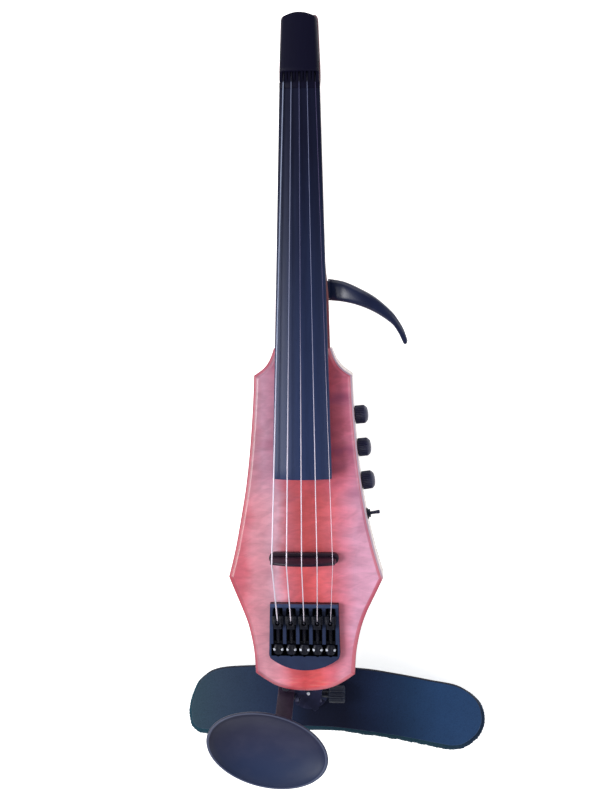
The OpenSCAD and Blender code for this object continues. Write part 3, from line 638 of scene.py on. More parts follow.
def grip():
    """The shoulder rest's upper layer: a dense fine crumb, navy at the treble end and greener at the bass."""
    look = Look("grip_fabric", (40, 62, 98), 0.75, Sheen_Weight=0.04, Sheen_Roughness=0.5,
                Specular_IOR_Level=0.15)
    crumb, fine = look.cells(1.15), look.noise(2.6, 3, 0.7)
    # Colour along the rest: navy at the treble end, greener at the bass, with a painted shadow of the body and
    # chin cup across the middle.
    colour = look.ramp(look.span(look.part("X"), -100, 140, soft=False), (0, 44, 66, 78), (0.12, 42, 58, 78),
                       (0.33, 27, 42, 72), (0.42, 16, 22, 46), (0.53, 13, 20, 46), (0.62, 22, 38, 70),
                       (0.74, 26, 52, 86), (0.84, 34, 64, 104), (1, 36, 66, 106))
    colour = look.shade(colour, look.noise(0.05, 3), 0.88, 1.1)
    colour = look.shade(colour, crumb, 1.14, 0.84)
    colour = look.tint(colour, (84, 112, 146), look.span(fine, 0.62, 0.74), 0.22)
    # Its turned-down edge carries painted shade toward the head and a painted highlight toward the tail.
    normal = look.node("ShaderNodeNewGeometry").outputs["Normal"]
    normal = look.node("ShaderNodeSeparateXYZ", Vector=normal).outputs
    shade_north = look.times(look.span(normal["Z"], 0.8, 0.4), look.span(normal["Y"], -0.1, 0.3))
    highlight_south = look.times(look.span(normal["Z"], 0.9, 0.6), look.span(normal["Y"], -0.2, -0.5))
    colour = look.tint(colour, (14, 16, 34), shade_north)
    look.colour(look.tint(colour, (70, 96, 140), highlight_south, 0.5))
    look.rough(fine, 0.66, 0.86)
    return look.bump(crumb, 0.14, 0.6).bump(fine, 0.05, 0.5)


def foam():
    """Open-celled teal foam under the shoulder rest."""
    look = Look("pad_foam", (30, 74, 94), 0.88, Sheen_Weight=0.06, Sheen_Roughness=0.6,
                Specular_IOR_Level=0.15)
    cells, fine = look.cells(0.9), look.noise(3.2, 3, 0.7)
    colour = look.mix(look.along("X", 80, 136), (24, 62, 78), (20, 44, 70))
    colour = look.shade(colour, look.noise(0.05, 3), 0.85, 1.1)
    colour = look.shade(colour, cells, 0.74, 1.16)
    look.colour(look.shade(colour, fine, 0.86, 1.08))
    look.rough(fine, 0.78, 0.95)
    return look.bump(cells, 0.2, 0.8).bump(fine, 0.08, 0.5)


def cup_black():
    """Satin moulding of the chin cup, with a soft bloom of paler patches, painted light in the hollow that
    falls to painted shade toward the edge, and a painted highlight on the rim.
    """
    look = Look("cup_black", (44, 52, 80), Specular_IOR_Level=0.3)
    grain, bloom = look.noise(1.8, 3, 0.65), look.noise((0.035, 0.05, 0.05), 3)
    colour = look.mix(look.along("Y", -122, -160), (42, 44, 70), (34, 48, 82))
    colour = look.tint(colour, (66, 66, 88), look.span(bloom, 0.45, 0.7), 0.3)
    # Painted light in the hollow, falling to painted shade toward the edge.
    colour = look.shade(colour, look.cloud(CUP_MID[0] + 6, CUP_MID[1] - 4, 60, 42), 0.66, 1.06)
    # A painted highlight along the top of the rim.
    colour = look.tint(colour, (120, 128, 156), look.along("Z", 18.15, 18.42), 0.32)
    look.colour(look.shade(colour, grain, 0.9, 1.08))
    look.rough(look.shared(grain, bloom), 0.42, 0.62)
    return look.bump(grain, 0.04, 0.5)


def board_green():
    look = Look("board_green", (22, 96, 52), 0.4, Coat_Weight=0.3)
    weave = look.wave(1, 1.6, detail=1.0)
    tracks = look.span(look.wave((0.5, 0.12, 1), 1.1, 4.0, profile="TRI"), 0.55, 0.62)
    look.colour(look.tint(look.mix(weave, (18, 84, 46), (26, 104, 58)), (70, 150, 84), tracks, 0.5))
    look.rough(weave, 0.3, 0.5)
    return look.bump(tracks, 0.04, 0.5)


def battery_case():
    look = Look("battery_case", (38, 40, 46), 0.35, 0.4)
    grain = look.noise((0.4, 3.0, 0.4), 3)
    colour = look.mix(look.along("Y", 8, 9), (40, 42, 48), (150, 104, 52))
    look.colour(look.shade(colour, grain, 0.88, 1.08))
    look.rough(grain, 0.25, 0.42)
    return look.bump(grain, 0.01, 0.4)


FIGURED, MAPLE, EBONY = figured_maple(), light_maple(), ebony()
CAP_EBONY = ebony("cap_ebony", (12, 11, 34), (14, 14, 36), 0.42, 0.56, 0.01, 0.1)
BRIDGE_EBONY = ebony("bridge_ebony", (30, 18, 32), (38, 24, 42), 0.36, 0.5, 0.1)
SLATE = alloy("slate_alloy", (24, 34, 64), (32, 46, 80), metal=0.55, pit=4.6)
DARK_ALLOY = alloy("dark_alloy", (32, 34, 62), (44, 46, 80), 0.34, 0.52, 0.4)
RISER_ALLOY = alloy("riser_alloy", (46, 32, 54), (58, 42, 66), 0.38, 0.55, 0.3)
CARRIAGE_BLACK = alloy("carriage_black", (6, 7, 18), (14, 16, 32), 0.34, 0.52, 0.3)
TUNER_BLACK = alloy("tuner_black", (8, 9, 22), (18, 20, 38), 0.34, 0.52, 0.3)
KNOB_BLACK = plastic("knob_black", (30, 30, 60), (42, 44, 74), 0.3, 0.5, 4.0, 0.02, 0.45)
HOOK_BLACK = plastic("hook_black", (16, 22, 52), (24, 32, 64), 0.22, 0.36, 2.4, 0.02, 0.5)
BOX_BLACK = plastic("box_black", (24, 25, 30), (34, 35, 42), 0.42, 0.62, 3.0, 0.05)
FOOT_BLACK = plastic("foot_black", (36, 22, 36), (46, 30, 46), 0.34, 0.5, 3.0, 0.02)
THUMB_BLACK = plastic("thumb_black", (18, 24, 42), (28, 36, 56), 0.34, 0.55, 3.0, 0.03)
STEEL, BRIGHT = steel(), steel("bright_steel", (226, 228, 234), 0.08, 0.2)
# White and not metallic: this finish is a painted highlight, on the tuner knobs' studs and the bracket's set
# screw.
GLINT_WHITE = steel("glint_white", (232, 236, 250), 0.3, 0.5, 0.0)
GRIP, FOAM, CUP = grip(), foam(), cup_black()
BOARD, CELL = board_green(), battery_case()
WIRE_NUT_TONES = [(146, 156, 184), (118, 124, 154), (82, 84, 120), (112, 118, 152), (84, 76, 116)]
WIRES = [string_wire(k, nut_tone) for k, nut_tone in enumerate(WIRE_NUT_TONES, 1)]


# Body --------------------------------------------------------------------------------------------
def treble_bulge(y):
    """The treble corner reaches a little further out than the bass one."""
    return CORNER_OUT * max(0, 1 - abs(y - CORNER_Y) / (40 if y > CORNER_Y else 24))


half = curve(NECK_FLARE, 8)[:-1] + curve(UPPER_SIDE, 6)[:-1] + curve(LOWER_SIDE, 6)[:-1] + curve(TAIL_END, 8)
OUTLINE = [(x + treble_bulge(y), y) for x, y in half] + [(-x, y) for x, y in reversed(half[:-1])]


def board_slope(y, at_nut, at_end):
    """A measure of the fingerboard that changes evenly from the nut to the board's end."""
    return at_nut + (SCALE_LENGTH - y) * (at_end - at_nut) / (SCALE_LENGTH - BOARD_END_Y)


def board_half(y):
    """Half the fingerboard's width."""
    return board_slope(y, BOARD_NUT, BOARD_END)


def face_z(y):
    """The height of the fingerboard's crown."""
    return board_slope(y, FACE_NUT, FACE_END)


def glue_z(y):
    """The height of the neck's flat top, where the fingerboard is glued."""
    return board_slope(min(y, SCALE_LENGTH), GLUE_NUT, GLUE_END)


def crown_drop(x):
    """How far a crown of the fingerboard's radius has fallen at x."""
    return BOARD_RADIUS - math.sqrt(BOARD_RADIUS ** 2 - x * x)


def body_ring(distance, z):
    """The body's outline moved inward, at a height."""
    return [(x, y, z) for x, y in untangled(inset(OUTLINE, distance, True))]


def tuner_plan(margin):
    """The tuner plate's outline: square toward the bridge and round toward the tail."""
    arc = 38.97 + margin
    points = [(-25.6 - margin, -71), (-24.6 - margin, -33.2 + margin), (24.6 + margin, -33.2 + margin),
              (25.6 + margin, -71)]
    for i in range(33):
        a = math.radians(-51 - i * 78 / 32)
        points.append((arc * math.cos(a), -43.03 + arc * math.sin(a)))
    return points


quarter = [math.radians(a) for a in (0, 15, 30, 45, 60, 75, 90)]
top_edge = [(0, -TOP_THICK + 0.02), (0, -2.3), (0.12, -2.05), (0.35, -1.85), (0.7, -1.66),
            (BEVEL - 0.6, -0.2), (BEVEL - 0.15, -0.05), (BEVEL + 0.4, 0)]
body_top = shape("body_top_plate", loft([body_ring(d, z) for d, z in top_edge]))
cut(body_top, prism(tuner_plan(0.12), -13, 2), upright(18.5, 1.2, -12, 2, 1.8),
    prism(taper(112, board_half(112) - 3, 160, board_half(160) - 3), -10, 2))
put(body_top, "instrument", FIGURED, ["body_top"], smooth=28)

core_rings = [body_ring(3 * (1 - math.cos(a)), -BODY_DEPTH + 4 - 4 * math.sin(a)) for a in reversed(quarter)]
core_rings.append(body_ring(0, -TOP_THICK))
body_core = shape("body_core_block", loft(core_rings))


def side_x(y):
    """Half the body's width at y."""
    for (x0, y0), (x1, y1) in zip(UPPER_SIDE, UPPER_SIDE[1:]):
        if y1 <= y <= y0:
            return x0 + (y - y0) * (x1 - x0) / (y1 - y0)


def outward(x, y, z, turn):
    """The matrix that stands a form on the body's side, its own z pointing out."""
    spin = Matrix.Rotation(math.radians(turn), 4, "Z") @ Matrix.Rotation(math.pi / 2, 4, "Y")
    return Matrix.Translation((x, y, z)) @ spin


def on_side(i):
    """The same for a control on the treble side."""
    return outward(side_x(CONTROL_Y[i]), CONTROL_Y[i], CONTROL_Z, CONTROL_TURN[i])


JACK_PLACE = outward(-side_x(JACK_Y), JACK_Y, JACK_Z, JACK_TURN)

# The block's hollows: neck relief, control cavity with its cover, battery bay, tuners, screws, controls, jack.
core_cuts = [rod((-60, 160, -40), (60, 160, -40), 24, 128), prism(CONTROL_CAVITY, -BODY_DEPTH - 3, -8.5),
             prism(CONTROL_COVER, -BODY_DEPTH - 2, -BODY_DEPTH + 2.2),
             block((-40.2, -26.5, -BODY_DEPTH - 1), (-10.2, 31.4, -11.6)), prism(tuner_plan(0.12), -12.9, 0)]
core_cuts += [upright(x, y, -BODY_DEPTH - 1, -BODY_DEPTH + 3, 4.3) for x, y in NECK_SCREWS]
for i in range(4):
    low, radius = (-2.6, 5.3) if i < 3 else (-1, 4.1)
    core_cuts.append(moved(upright(0, 0, low, 10, radius), on_side(i)))
    core_cuts.append(moved(upright(0, 0, -12, 8, radius - 1.5), on_side(i)))
core_cuts.append(moved(upright(0, 0, -26, 4, 7.7), JACK_PLACE))
core_cuts.append(moved(upright(0, 0, -2, 8, 9.7), JACK_PLACE))
cut(body_core, *core_cuts)
put(body_core, "instrument", MAPLE, ["body_core"], smooth=28)


# Neck and fingerboard ----------------------------------------------------------------------------
def neck_ring(y, steps=28):
    """A D-shaped section: flat under the fingerboard and round at the back, with a fuller treble heel."""
    top = glue_z(y)
    radius = 18.9 + (y - NECK_START) / (HEAD_END + 0.5 - NECK_START) * (12.75 - 18.9)
    wide = board_half(min(y, 340)) - 0.05
    if y > 330:
        head_half = board_half(340) + 0.6
        wide = head_half - (head_half - 12.9) * max(0, y - 340) / 35
    heel = HEEL_OUT * smooth_step(y, 212, 184) if y > NECK_START + 0.2 else 0
    ring = []
    for k in range(steps + 1):
        a = math.pi * k / steps
        x = (wide + heel) * math.cos(a)
        if k > steps / 2:
            x += 0.6 * heel * (1 - math.sin(a))
        ring.append((x, y, top - (top - 2 + radius) * abs(math.sin(a)) ** (0.86 if y < 330 else 0.6)))
    return ring


neck_rings = []
for k in range(9):
    # The tongue under the fingerboard, let into the body.
    y = 112 + (NECK_START - 112) * k / 8
    scale = (board_half(y) - 3.1) / (board_half(NECK_START) - 0.05)
    rise = glue_z(y) - glue_z(NECK_START)
    neck_rings.append([(x * scale, y, max(z + rise, -4.4)) for x, _, z in neck_ring(NECK_START)])
neck_rings += [neck_ring(NECK_START + 0.25 + (HEAD_START - NECK_START - 0.25) * k / 40) for k in range(41)]
for k, shrink in enumerate((0.99, 0.965, 0.92, 0.84)):
    y = HEAD_START + (HEAD_END - 0.4 - HEAD_START) * (k + 1) / 4
    squash = 0.98 - 0.04 * k
    neck_rings.append([(x * shrink, y, GLUE_NUT + (z - GLUE_NUT) * squash)
                       for x, _, z in neck_ring(HEAD_START)])
neck = shape("neck_blank", loft(neck_rings))
cut(neck, prism([(8.3, 184.7), (8.3, 197.5), (19, 197.5), (19, 184.7)], -3.25, 3.25),
    upright(13.6, 191, -30, -9, 3.25), rod((-30, 160, -40), (30, 160, -40), 21))
put(neck, "instrument", MAPLE, ["neck"], smooth=40)


def board_ring(y, trim=0.0, soft=0.9):
    """The fingerboard's section: a crowned face between two soft edges."""
    wide, crest = board_half(y) - trim, face_z(y) - trim
    flat = wide - soft
    edge = crest - crown_drop(flat) - soft
    ring = [(-wide, y, glue_z(y))]
    for side, start in ((-1, 180), (1, 90)):
        for k in range(7):
            a = math.radians(start - 15 * k)
            ring.append((side * flat + soft * math.cos(a), y, edge + soft * math.sin(a)))
        if side < 0:
            ring += [(x, y, crest - crown_drop(x)) for x in (flat * (k / 12 - 1) for k in range(1, 24))]
    return ring + [(wide, y, glue_z(y))]


board_rings = [[(x, BOARD_END_Y, z) for x, _, z in board_ring(BOARD_END_Y, 0.7)],
               [(x, BOARD_END_Y + 0.22, z) for x, _, z in board_ring(BOARD_END_Y + 0.2, 0.25)]]
board_start = BOARD_END_Y + 0.8
board_rings += [board_ring(board_start + (SCALE_LENGTH - board_start) * k / 30) for k in range(31)]
fingerboard = shape("fingerboard_ebony", loft(board_rings))
put(fingerboard, "instrument", EBONY, ["fingerboard"], smooth=30)


# Nut, string anchor and head cap -----------------------------------------------------------------
def nut_point(i):
    x = (i - 2) * NUT_PITCH
    return Vector((x, SCALE_LENGTH + 4.2, NUT_CREST - crown_drop(x) + STRING_RADIUS[i] + 0.08))


def bridge_point(i):
    x = (i - 2) * BRIDGE_PITCH
    return Vector((x, -0.8, BRIDGE_CREST - crown_drop(x) + STRING_RADIUS[i] + 0.14))


def anchor_point(i):
    return Vector(((i - 2) * NUT_PITCH * 0.97, 342, 5.6))


def tuner_point(i):
    return Vector(((i - 2) * TUNER_PITCH, -46.5, 6.8))


def nut_ring(y, lower):
    """The nut's section, with a shallow groove for each string."""
    wide = board_half(y) - 0.05
    ring = [(-wide, y, GLUE_NUT)]
    for k in range(161):
        x = wide * (k / 80 - 1)
        z = NUT_CREST - crown_drop(x) - lower
        for i in range(5):
            off = abs(x - (i - 2) * NUT_PITCH)
            groove = STRING_RADIUS[i] + 0.25
            if off < groove:
                z -= 0.1 * math.sqrt(1 - (off / groove) ** 2)
        ring.append((x, y, z))
    return ring + [(wide, y, GLUE_NUT)]


nut_front = [(0.02, 0.75), (0.5, 0.4), (1.6, 0.12), (3, 0.02), (4, 0.0)]
nut = shape("nut_block", loft([nut_ring(SCALE_LENGTH + y, lower) for y, lower in nut_front]))
put(nut, "instrument", CAP_EBONY, ["nut"], smooth=40)

# The strip behind the nut has one channel for each string and dark slits between them.
strip_plan = taper(332.05, board_half(332) - 0.3, 346, board_half(346) - 0.3)
strip = shape("anchor_strip", prism(strip_plan, GLUE_NUT, 7.1))
slots = []
for i in range(5):
    a, b = anchor_point(i), nut_point(i)
    slots.append(rod(a + (a - b).normalized() * 0.5, b + (b - a) * 0.3, 0.95, 16))
    slots.append(ball(a, 1.5, 16))
    slots.append(upright(a.x, 342, 5.6, 9, 1.5, 24))
    slots.append(block((a.x - 0.55, 332, 5.9), (a.x + 0.55, 342, 9)))
for i in range(4):
    x = (i - 1.5) * NUT_PITCH
    slots.append(block((x - 0.35, 333.5, 6.2), (x + 0.35, 345, 9)))
rounded(cut(strip, *slots), 0.25, 2, 45)
put(strip, "instrument", CAP_EBONY, ["string_anchor"])


def cap_ring(y, trim, lower, steps=24):
    """The head cap's section: low and crowned, falling away faster at its edges."""
    start, crest = board_half(340) + 0.2, 10.4 - lower
    wide = start - (start - 12.1) * min(1, (y - 339.2) / 36) - trim
    ring = [(-wide, y, GLUE_NUT + 0.02)]
    for k in range(steps + 1):
        u = k / (steps / 2) - 1
        drop = 1.7 * u * u + 2.6 * max(0, abs(u) - 0.86) ** 2 / 0.0196
        ring.append((wide * u, y, max(crest - drop, GLUE_NUT + 0.5)))
    return ring + [(wide, y, GLUE_NUT + 0.02)]


cap_rings = [cap_ring(339.25, 0.25, 0.7), cap_ring(339.5, 0.05, 0.25)]
cap_rings += [cap_ring(339.9 + (374.6 - 339.9) * k / 16, 0, 0) for k in range(17)]
cap_rings += [cap_ring(374.6 + 0.45 * t, 0.35 * t, 1.2 * t * t) for t in (k / 8 for k in range(1, 9))]
head = shape("head_cap_ebony", loft(cap_rings))
for vert in head.data.vertices:
    # The end swells out to a low round apex between two crisp corners.
    reach = smooth_step(vert.co.y, 366, 375.05)
    vert.co.y += reach * max(0, 3.35 * (1 - (vert.co.x / 12.1) ** 2))
cut(head, block((-20, 330, -1), (20, 346.35, 7.5)))
rounded(head, 0.35, 3, 50)
put(head, "instrument", CAP_EBONY, ["head_cap"], smooth=40)


# Strings -----------------------------------------------------------------------------------------
def string_path(stops):
    """Points from stop to stop, close together just before each one so that the wire turns there."""
    path = []
    for a, b in zip(stops, stops[1:]):
        count = max(6, int((b - a).length / 6))
        path += [a + (b - a) * (k / count) for k in range(count)]
        if a is not stops[0]:
            path[-count] = a + Vector((0, 0, 0.02))
        path.append(b - (b - a).normalized() * min(1.2, 0.1 * (b - a).length))
    return path + [stops[-1]]


for i, look in enumerate(WIRES):
    path = string_path([anchor_point(i), nut_point(i), bridge_point(i), tuner_point(i)])
    # The speaking length is drawn a little thinner toward the nut.
    wire = tube(path, lambda p: STRING_RADIUS[i] * (0.9 - 0.22 * smooth_step(p.y, 60, 200)), 14)
    ends = ball(anchor_point(i), 1.15), ball(tuner_point(i), 1.2)
    string = shape(f"string_wire_{i + 1}", merged(wire, *ends))
    put(string, None, look, (), smooth=60)
    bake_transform(string)
    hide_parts(f"string_{i + 1}")


# Bridge ------------------------------------------------------------------------------------------
def bridge_ring(side, level):
    """One side of the bridge blank, from its foot to its crown; level trims the edge for the chamfer."""
    points = [(-22, 3), (22, 3), (22, 8.6)]
    points += [(23.4 - level - 0.6 * (1 - math.cos(math.radians(a))), 9.4 + a / 10) for a in (15, 45, 90)]
    for k in range(33):
        x = 22.6 * (1 - k / 16)
        points.append((x * (1 - level / 40), BRIDGE_CREST - crown_drop(x) - level))
    points += [(-x, z) for x, z in reversed(points[2:6])]
    return [(x, side * (1.68 - 0.9 * max(0, z - 8) / 18), z) for x, z in points]


bridge_sides = [(-1, 0.35), (-0.8, 0.0), (0.8, 0.0), (1, 0.35)]
bridge = shape("bridge_blade", loft([bridge_ring(side, level) for side, level in bridge_sides]))
rounded(bridge, 0.2, 2, 50)
put(bridge, "instrument", BRIDGE_EBONY, ["bridge"], smooth=30)


def stadium(half_x, radius, z, steps=20):
    """A ring with straight sides and round ends."""
    ring = []
    for side in (1, -1):
        for k in range(steps + 1):
            a = -math.pi / 2 + math.pi * k / steps
            ring.append((side * (half_x + radius * math.cos(a)), side * radius * math.sin(a), z))
    return ring


foot_rings = [stadium(20.9, 4.1 - 0.9 * (1 - math.cos(a)), 3.9 + 1.0 * math.sin(a)) for a in quarter]
foot = shape("bridge_foot_housing", loft([stadium(20.9, 3.95, 0.03), stadium(20.9, 4.1, 0.4)] + foot_rings))
cut(foot, block((-22.3, -1.78, 3), (22.3, 1.78, 6)))
rounded(foot, 0.2, 2, 45)
put(foot, "instrument", FOOT_BLACK, ["bridge_foot"], smooth=30)


# Tuners ------------------------------------------------------------------------------------------
plate = shape("tuner_plate", prism(tuner_plan(-0.05), -12.8, 4.9))
pockets = [block((-24, -71.4, SCREW_Z), (24, -62.6, 10))]
for i in range(5):
    x = (i - 2) * TUNER_PITCH
    pockets.append(block((x - 2.95, -60.7, -8), (x + 2.95, -36, 10)))
    pockets.append(block((x - 3.55, -63, 3.4), (x + 3.55, -36.4, 10)))
    pockets.append(block((x - 2.95, -63, SCREW_Z + 2.5), (x + 2.95, -60, 10)))
    pockets.append(rod((x, -64, SCREW_Z), (x, -34.4, SCREW_Z), SCREW_HOLE))
    pockets.append(rod((x, -71.4, SCREW_Z), (x, -62.6, SCREW_Z), 4.9, 48))
    pockets.append(upright(x, -70.4, SCREW_Z, 10, 1.6))
rounded(cut(plate, *pockets), 0.45, 3, 40)
put(plate, "instrument", SLATE, ["tuner_frame"], smooth=30)

thread = [(1.2, 0)] + [(1.98 if n % 2 else 1.72, 0.5 + n * 0.345) for n in range(80)] + [(1.2, 28.2)]
lobed = turned([(2.2, 0), (3.3, 0.15), (3.9, 0.9), (4.3, 2.2), (4.42, 3.7), (4.3, 5.2), (3.9, 6.5),
                (3.3, 7.3), (2.2, 7.5)], 96, grooves(4, 0.8, 0.3, 7.2))
lobed = moved(lobed, Matrix.Rotation(math.radians(45), 4, "Z"))
for i in range(5):
    x, k = (i - 2) * TUNER_PITCH, i + 1
    carriage = shape(f"carriage_block_{k}", block((x - 2.62, -51.5, -7.4), (x + 2.62, -41.2, 5.15)))
    cut(carriage, block((x - 2.62, -50.5, 4), (x + 2.62, -43.4, 8.7)), operation="UNION")
    cut(carriage, block((x - 3.9, -47.2, 5.4), (x + 3.9, -41.4, 7.9)), operation="UNION")
    cut(carriage, rod((x, -60, SCREW_Z), (x, -30, SCREW_Z), SCREW_HOLE),
        block((x - 0.8, -46.5, 4.6), (x + 0.8, -40, 12)), upright(x, -46.5, 4.6, 12, 1.6),
        block((x - 3, -43.4, 4), (x + 3, -41, 5.4)))
    rounded(carriage, 0.3, 3, 40)
    put(carriage, f"carriage_{k}", CARRIAGE_BLACK, [f"tuner_carriage_{k}"])

    screw = moved(turned(thread, 24), axis((x, -63.02, SCREW_Z), (0, 1, 0)))
    knob = moved(lobed, axis((x, -70.55, SCREW_Z), (0, 1, 0)))
    knob = shape(f"tuner_screw_{k}", merged(screw, knob))
    put(knob, f"tuner_{k}", TUNER_BLACK, [f"tuner_knob_{k}"], smooth=40)
    # Studs whose white finish is a painted highlight on each knob's lobes.
    studs = [ball((x + STUD_OUT * math.cos(a), -66.8, SCREW_Z + STUD_OUT * math.sin(a)), 1.4, 24)
             for a in angles(4, 45)]
    put(shape(f"tuner_studs_{k}", merged(*studs)), f"tuner_{k}", GLINT_WHITE, (), smooth=80)


# Controls ----------------------------------------------------------------------------------------
def flutes(a, height):
    """Straight flutes round the skirt of a control knob."""
    return 0.28 * math.cos(30 * a) if 0.6 < height < 7.2 else 0


knob_form = turned([(3.0, 0.2), (5.6, 0.22), (6.15, 0.4), (6.3, 0.65), (6.36, 1.5), (6.36, 3.9), (6.36, 6.3),
                    (6.3, 7.1), (6.1, 7.6), (5.8, 8.1), (5.2, 8.7), (4.2, 9.25), (2.8, 9.6), (1.4, 9.8),
                    (0.0, 9.85)], 240, flutes)
collar = turned([(2.4, -2.2), (2.9, -2.1), (2.9, 0.25), (2.4, 0.3)], 40)
line = moved(block((-0.28, 2.6, 8.6), (0.28, 5.3, 9.35)), Matrix.Rotation(0.4, 4, "Z"))
for i, name in enumerate(("volume_knob", "bass_knob", "treble_knob")):
    knob = shape(f"{name}_cap", moved(merged(knob_form, collar), on_side(i)))
    put(knob, name, KNOB_BLACK, [name], smooth=42)
    mark = rounded(shape(f"{name}_index", moved(line, on_side(i))), 0.08, 2, 40)
    put(mark, name, STEEL, ())

lever = [(0.0, -1.4), (1.1, -1.1), (1.55, -0.3), (1.58, 0.2), (1.3, 0.9), (1.15, 1.5), (1.15, 3.5),
         (1.25, 6.5), (1.38, 7.8), (1.42, 8.5), (1.34, 8.9), (1.0, 9.2), (0.0, 9.3)]
toggle = shape("switch_toggle", moved(turned(lever, 32), on_side(3)))
put(toggle, "switch_lever", KNOB_BLACK, ["switch_lever"], smooth=50)
collar = turned([(1.95, 1.3), (2.4, 1.36), (2.7, 1.2), (2.8, 1.05), (2.7, 0.9), (2.8, 0.7)], 40)
hexagon = turned([(1.95, 0.65), (3.3, 0.65), (3.4, 0.5), (3.4, -0.7), (3.3, -0.88), (1.95, -0.88)], 6)
bushing = rounded(shape("switch_bushing", moved(merged(collar, hexagon), on_side(3))), 0.12, 2, 50)
put(bushing, "instrument", THUMB_BLACK, (), smooth=40)


# Hand hook ---------------------------------------------------------------------------------------
outer, inner = curve(HOOK_OUTER, 8), curve(HOOK_INNER, 8)
hook_rings, last = [], len(outer) - 1
for k, (a, b) in enumerate(zip(outer, inner)):
    a, b = Vector((*a, 0)), Vector((*b, 0))
    mid, across, t = (a + b) / 2, (a - b) / 2, k / last
    top = -52 + math.sqrt(56 ** 2 - (mid.x - 46) ** 2)
    high = max((top + 4.15) / 2, 2.6 if t < 0.5 else 1.2)
    middle = top - high if top - high > -1.4 else (top - 4.15) / 2
    end = min(1, (1 - t) / 0.05 + 0.28)
    ring = []
    for c in angles(32):
        lift = middle + high * 0.96 * end * signed_power(math.sin(c), 0.8)
        ring.append(tuple(mid + across * (signed_power(math.cos(c), 0.8) * end) + Vector((0, 0, lift))))
    hook_rings.append(ring)
tongue_sizes = [(8.5, 5.6, 2.4), (8.9, 6.05, 2.85), (14, 6.1, 2.95), (18, 6.15, 2.95), (19.8, 6.5, 2.8)]
tongue = [[(x, 191.15 + wide * signed_power(math.cos(a), 0.35), high * signed_power(math.sin(a), 0.35))
           for a in angles(32)] for x, wide, high in tongue_sizes]
hook = shape("hook_arm_bar", loft(hook_rings))
cut(hook, loft(tongue), operation="UNION")
put(hook, "instrument", HOOK_BLACK, ["hook_arm"], smooth=42)


# Chin rest ---------------------------------------------------------------------------------------
def cup_ring(scale, z):
    """The chin cup's tilted oval, scaled, at a height."""
    flat = [(CUP_HALF[0] * scale * math.cos(a), CUP_HALF[1] * scale * math.sin(a)) for a in angles(128)]
    c, s = math.cos(CUP_TURN), math.sin(CUP_TURN)
    return [(CUP_MID[0] + u * c - v * s, CUP_MID[1] + u * s + v * c, z) for u, v in flat]


outside = curve([(0.02, 5.85), (0.3, 6.1), (0.6, 7.2), (0.82, 10), (0.95, 13.6), (0.995, 16.4)], 5)
rim = curve([(0.995, 16.4), (0.998, 17.4), (0.988, 18.2), (0.968, 18.5), (0.95, 18.25), (0.93, 17.5)], 5)
inside = curve([(0.93, 17.5), (0.91, 16.9), (0.84, 15.3), (0.64, 12.6), (0.4, 11.1), (0.18, 10.5),
                (0.02, 10.35)], 6)
cup = shape("chin_cup_dish", loft([cup_ring(s, z) for s, z in outside[:-1] + rim[:-1] + inside]))
boss = turned([(0.01, -0.6), (7.4, -0.6), (8.7, 0), (9, 0.9), (9, 3.4)], 64)
post = turned([(0.01, -12.5), (2.6, -12.5), (2.95, -12.1), (2.95, 2)], 40)
post = shape("chin_cup_post", moved(merged(boss, post), Matrix.Translation((*CHIN_POST, 5.15))))
put(post, "chin_rest", THUMB_BLACK, (), smooth=35)
put(cup, "chin_rest", CUP, ["chin_cup"], smooth=70)

nut_profile = [(3.05, -6.6), (5.7, -6.6), (6.15, -6.3), (6.3, -5.8), (6.3, -1.5), (6.0, -1.05), (5.6, -0.9),
               (5.6, 1.1), (5.3, 1.5), (3.05, 1.5)]
chin_nut = moved(turned(nut_profile, 96, grooves(12, 0.45, -7, -1.2)), Matrix.Translation((*CHIN_POST, 0)))
chin_nut = shape("chin_nut_knob", chin_nut)
put(chin_nut, "chin_nut", THUMB_BLACK, ["chin_nut"], smooth=40)

thumb_profile = [(0.01, 2.8), (2.45, 2.8), (2.5, 15.0), (5.2, 15.2), (6.1, 15.5), (6.45, 16.2), (6.5, 17),
                 (6.5, 26), (6.4, 26.8), (5.9, 27.4), (5.0, 27.58), (4.6, 27.2), (0.01, 27.2)]
thumb = turned(thumb_profile, 160, grooves(20, 0.5, 15.6, 27.3))
shank = turned([(0.01, -14.6), (4.0, -14.6), (4.4, -14.2), (4.4, -10.9), (4.1, -10.6), (2.5, -10.6),
                (2.5, 3.2), (0.01, 3.2)], 48)
thumb_screw = moved(merged(thumb, shank), axis((0, TILT_Y, TILT_Z), (1, 0, 0)))
thumb_screw = shape("shoulder_thumb_screw", thumb_screw)
put(thumb_screw, "shoulder_screw", THUMB_BLACK, ["shoulder_screw"], smooth=40)


# Shoulder rest -----------------------------------------------------------------------------------
REST_LINE = closed_curve(REST_SHAPE, 10)
# The outline runs counter-clockwise, so it is moved inward by negative distances.
REST_SIDE = -1


def rest_ring(distance, depth, draw=0.0):
    """The rest's outline at a depth; draw pulls its head side inward, as the foam narrows downward."""
    line, close = (untangled(inset(REST_LINE, d * REST_SIDE)) for d in (distance, distance + 1))
    return [(x, y - draw * max(0, y - v), -depth) for (x, y), (u, v) in zip(line, close)]


def bar_ring(distance, depth):
    """The bar's outline, which leaves a ledge of the pad showing along the tail side."""
    return [(x, y + BAR_LIFT, z) for x, y, z in rest_ring(distance + BAR_INSET, depth)]


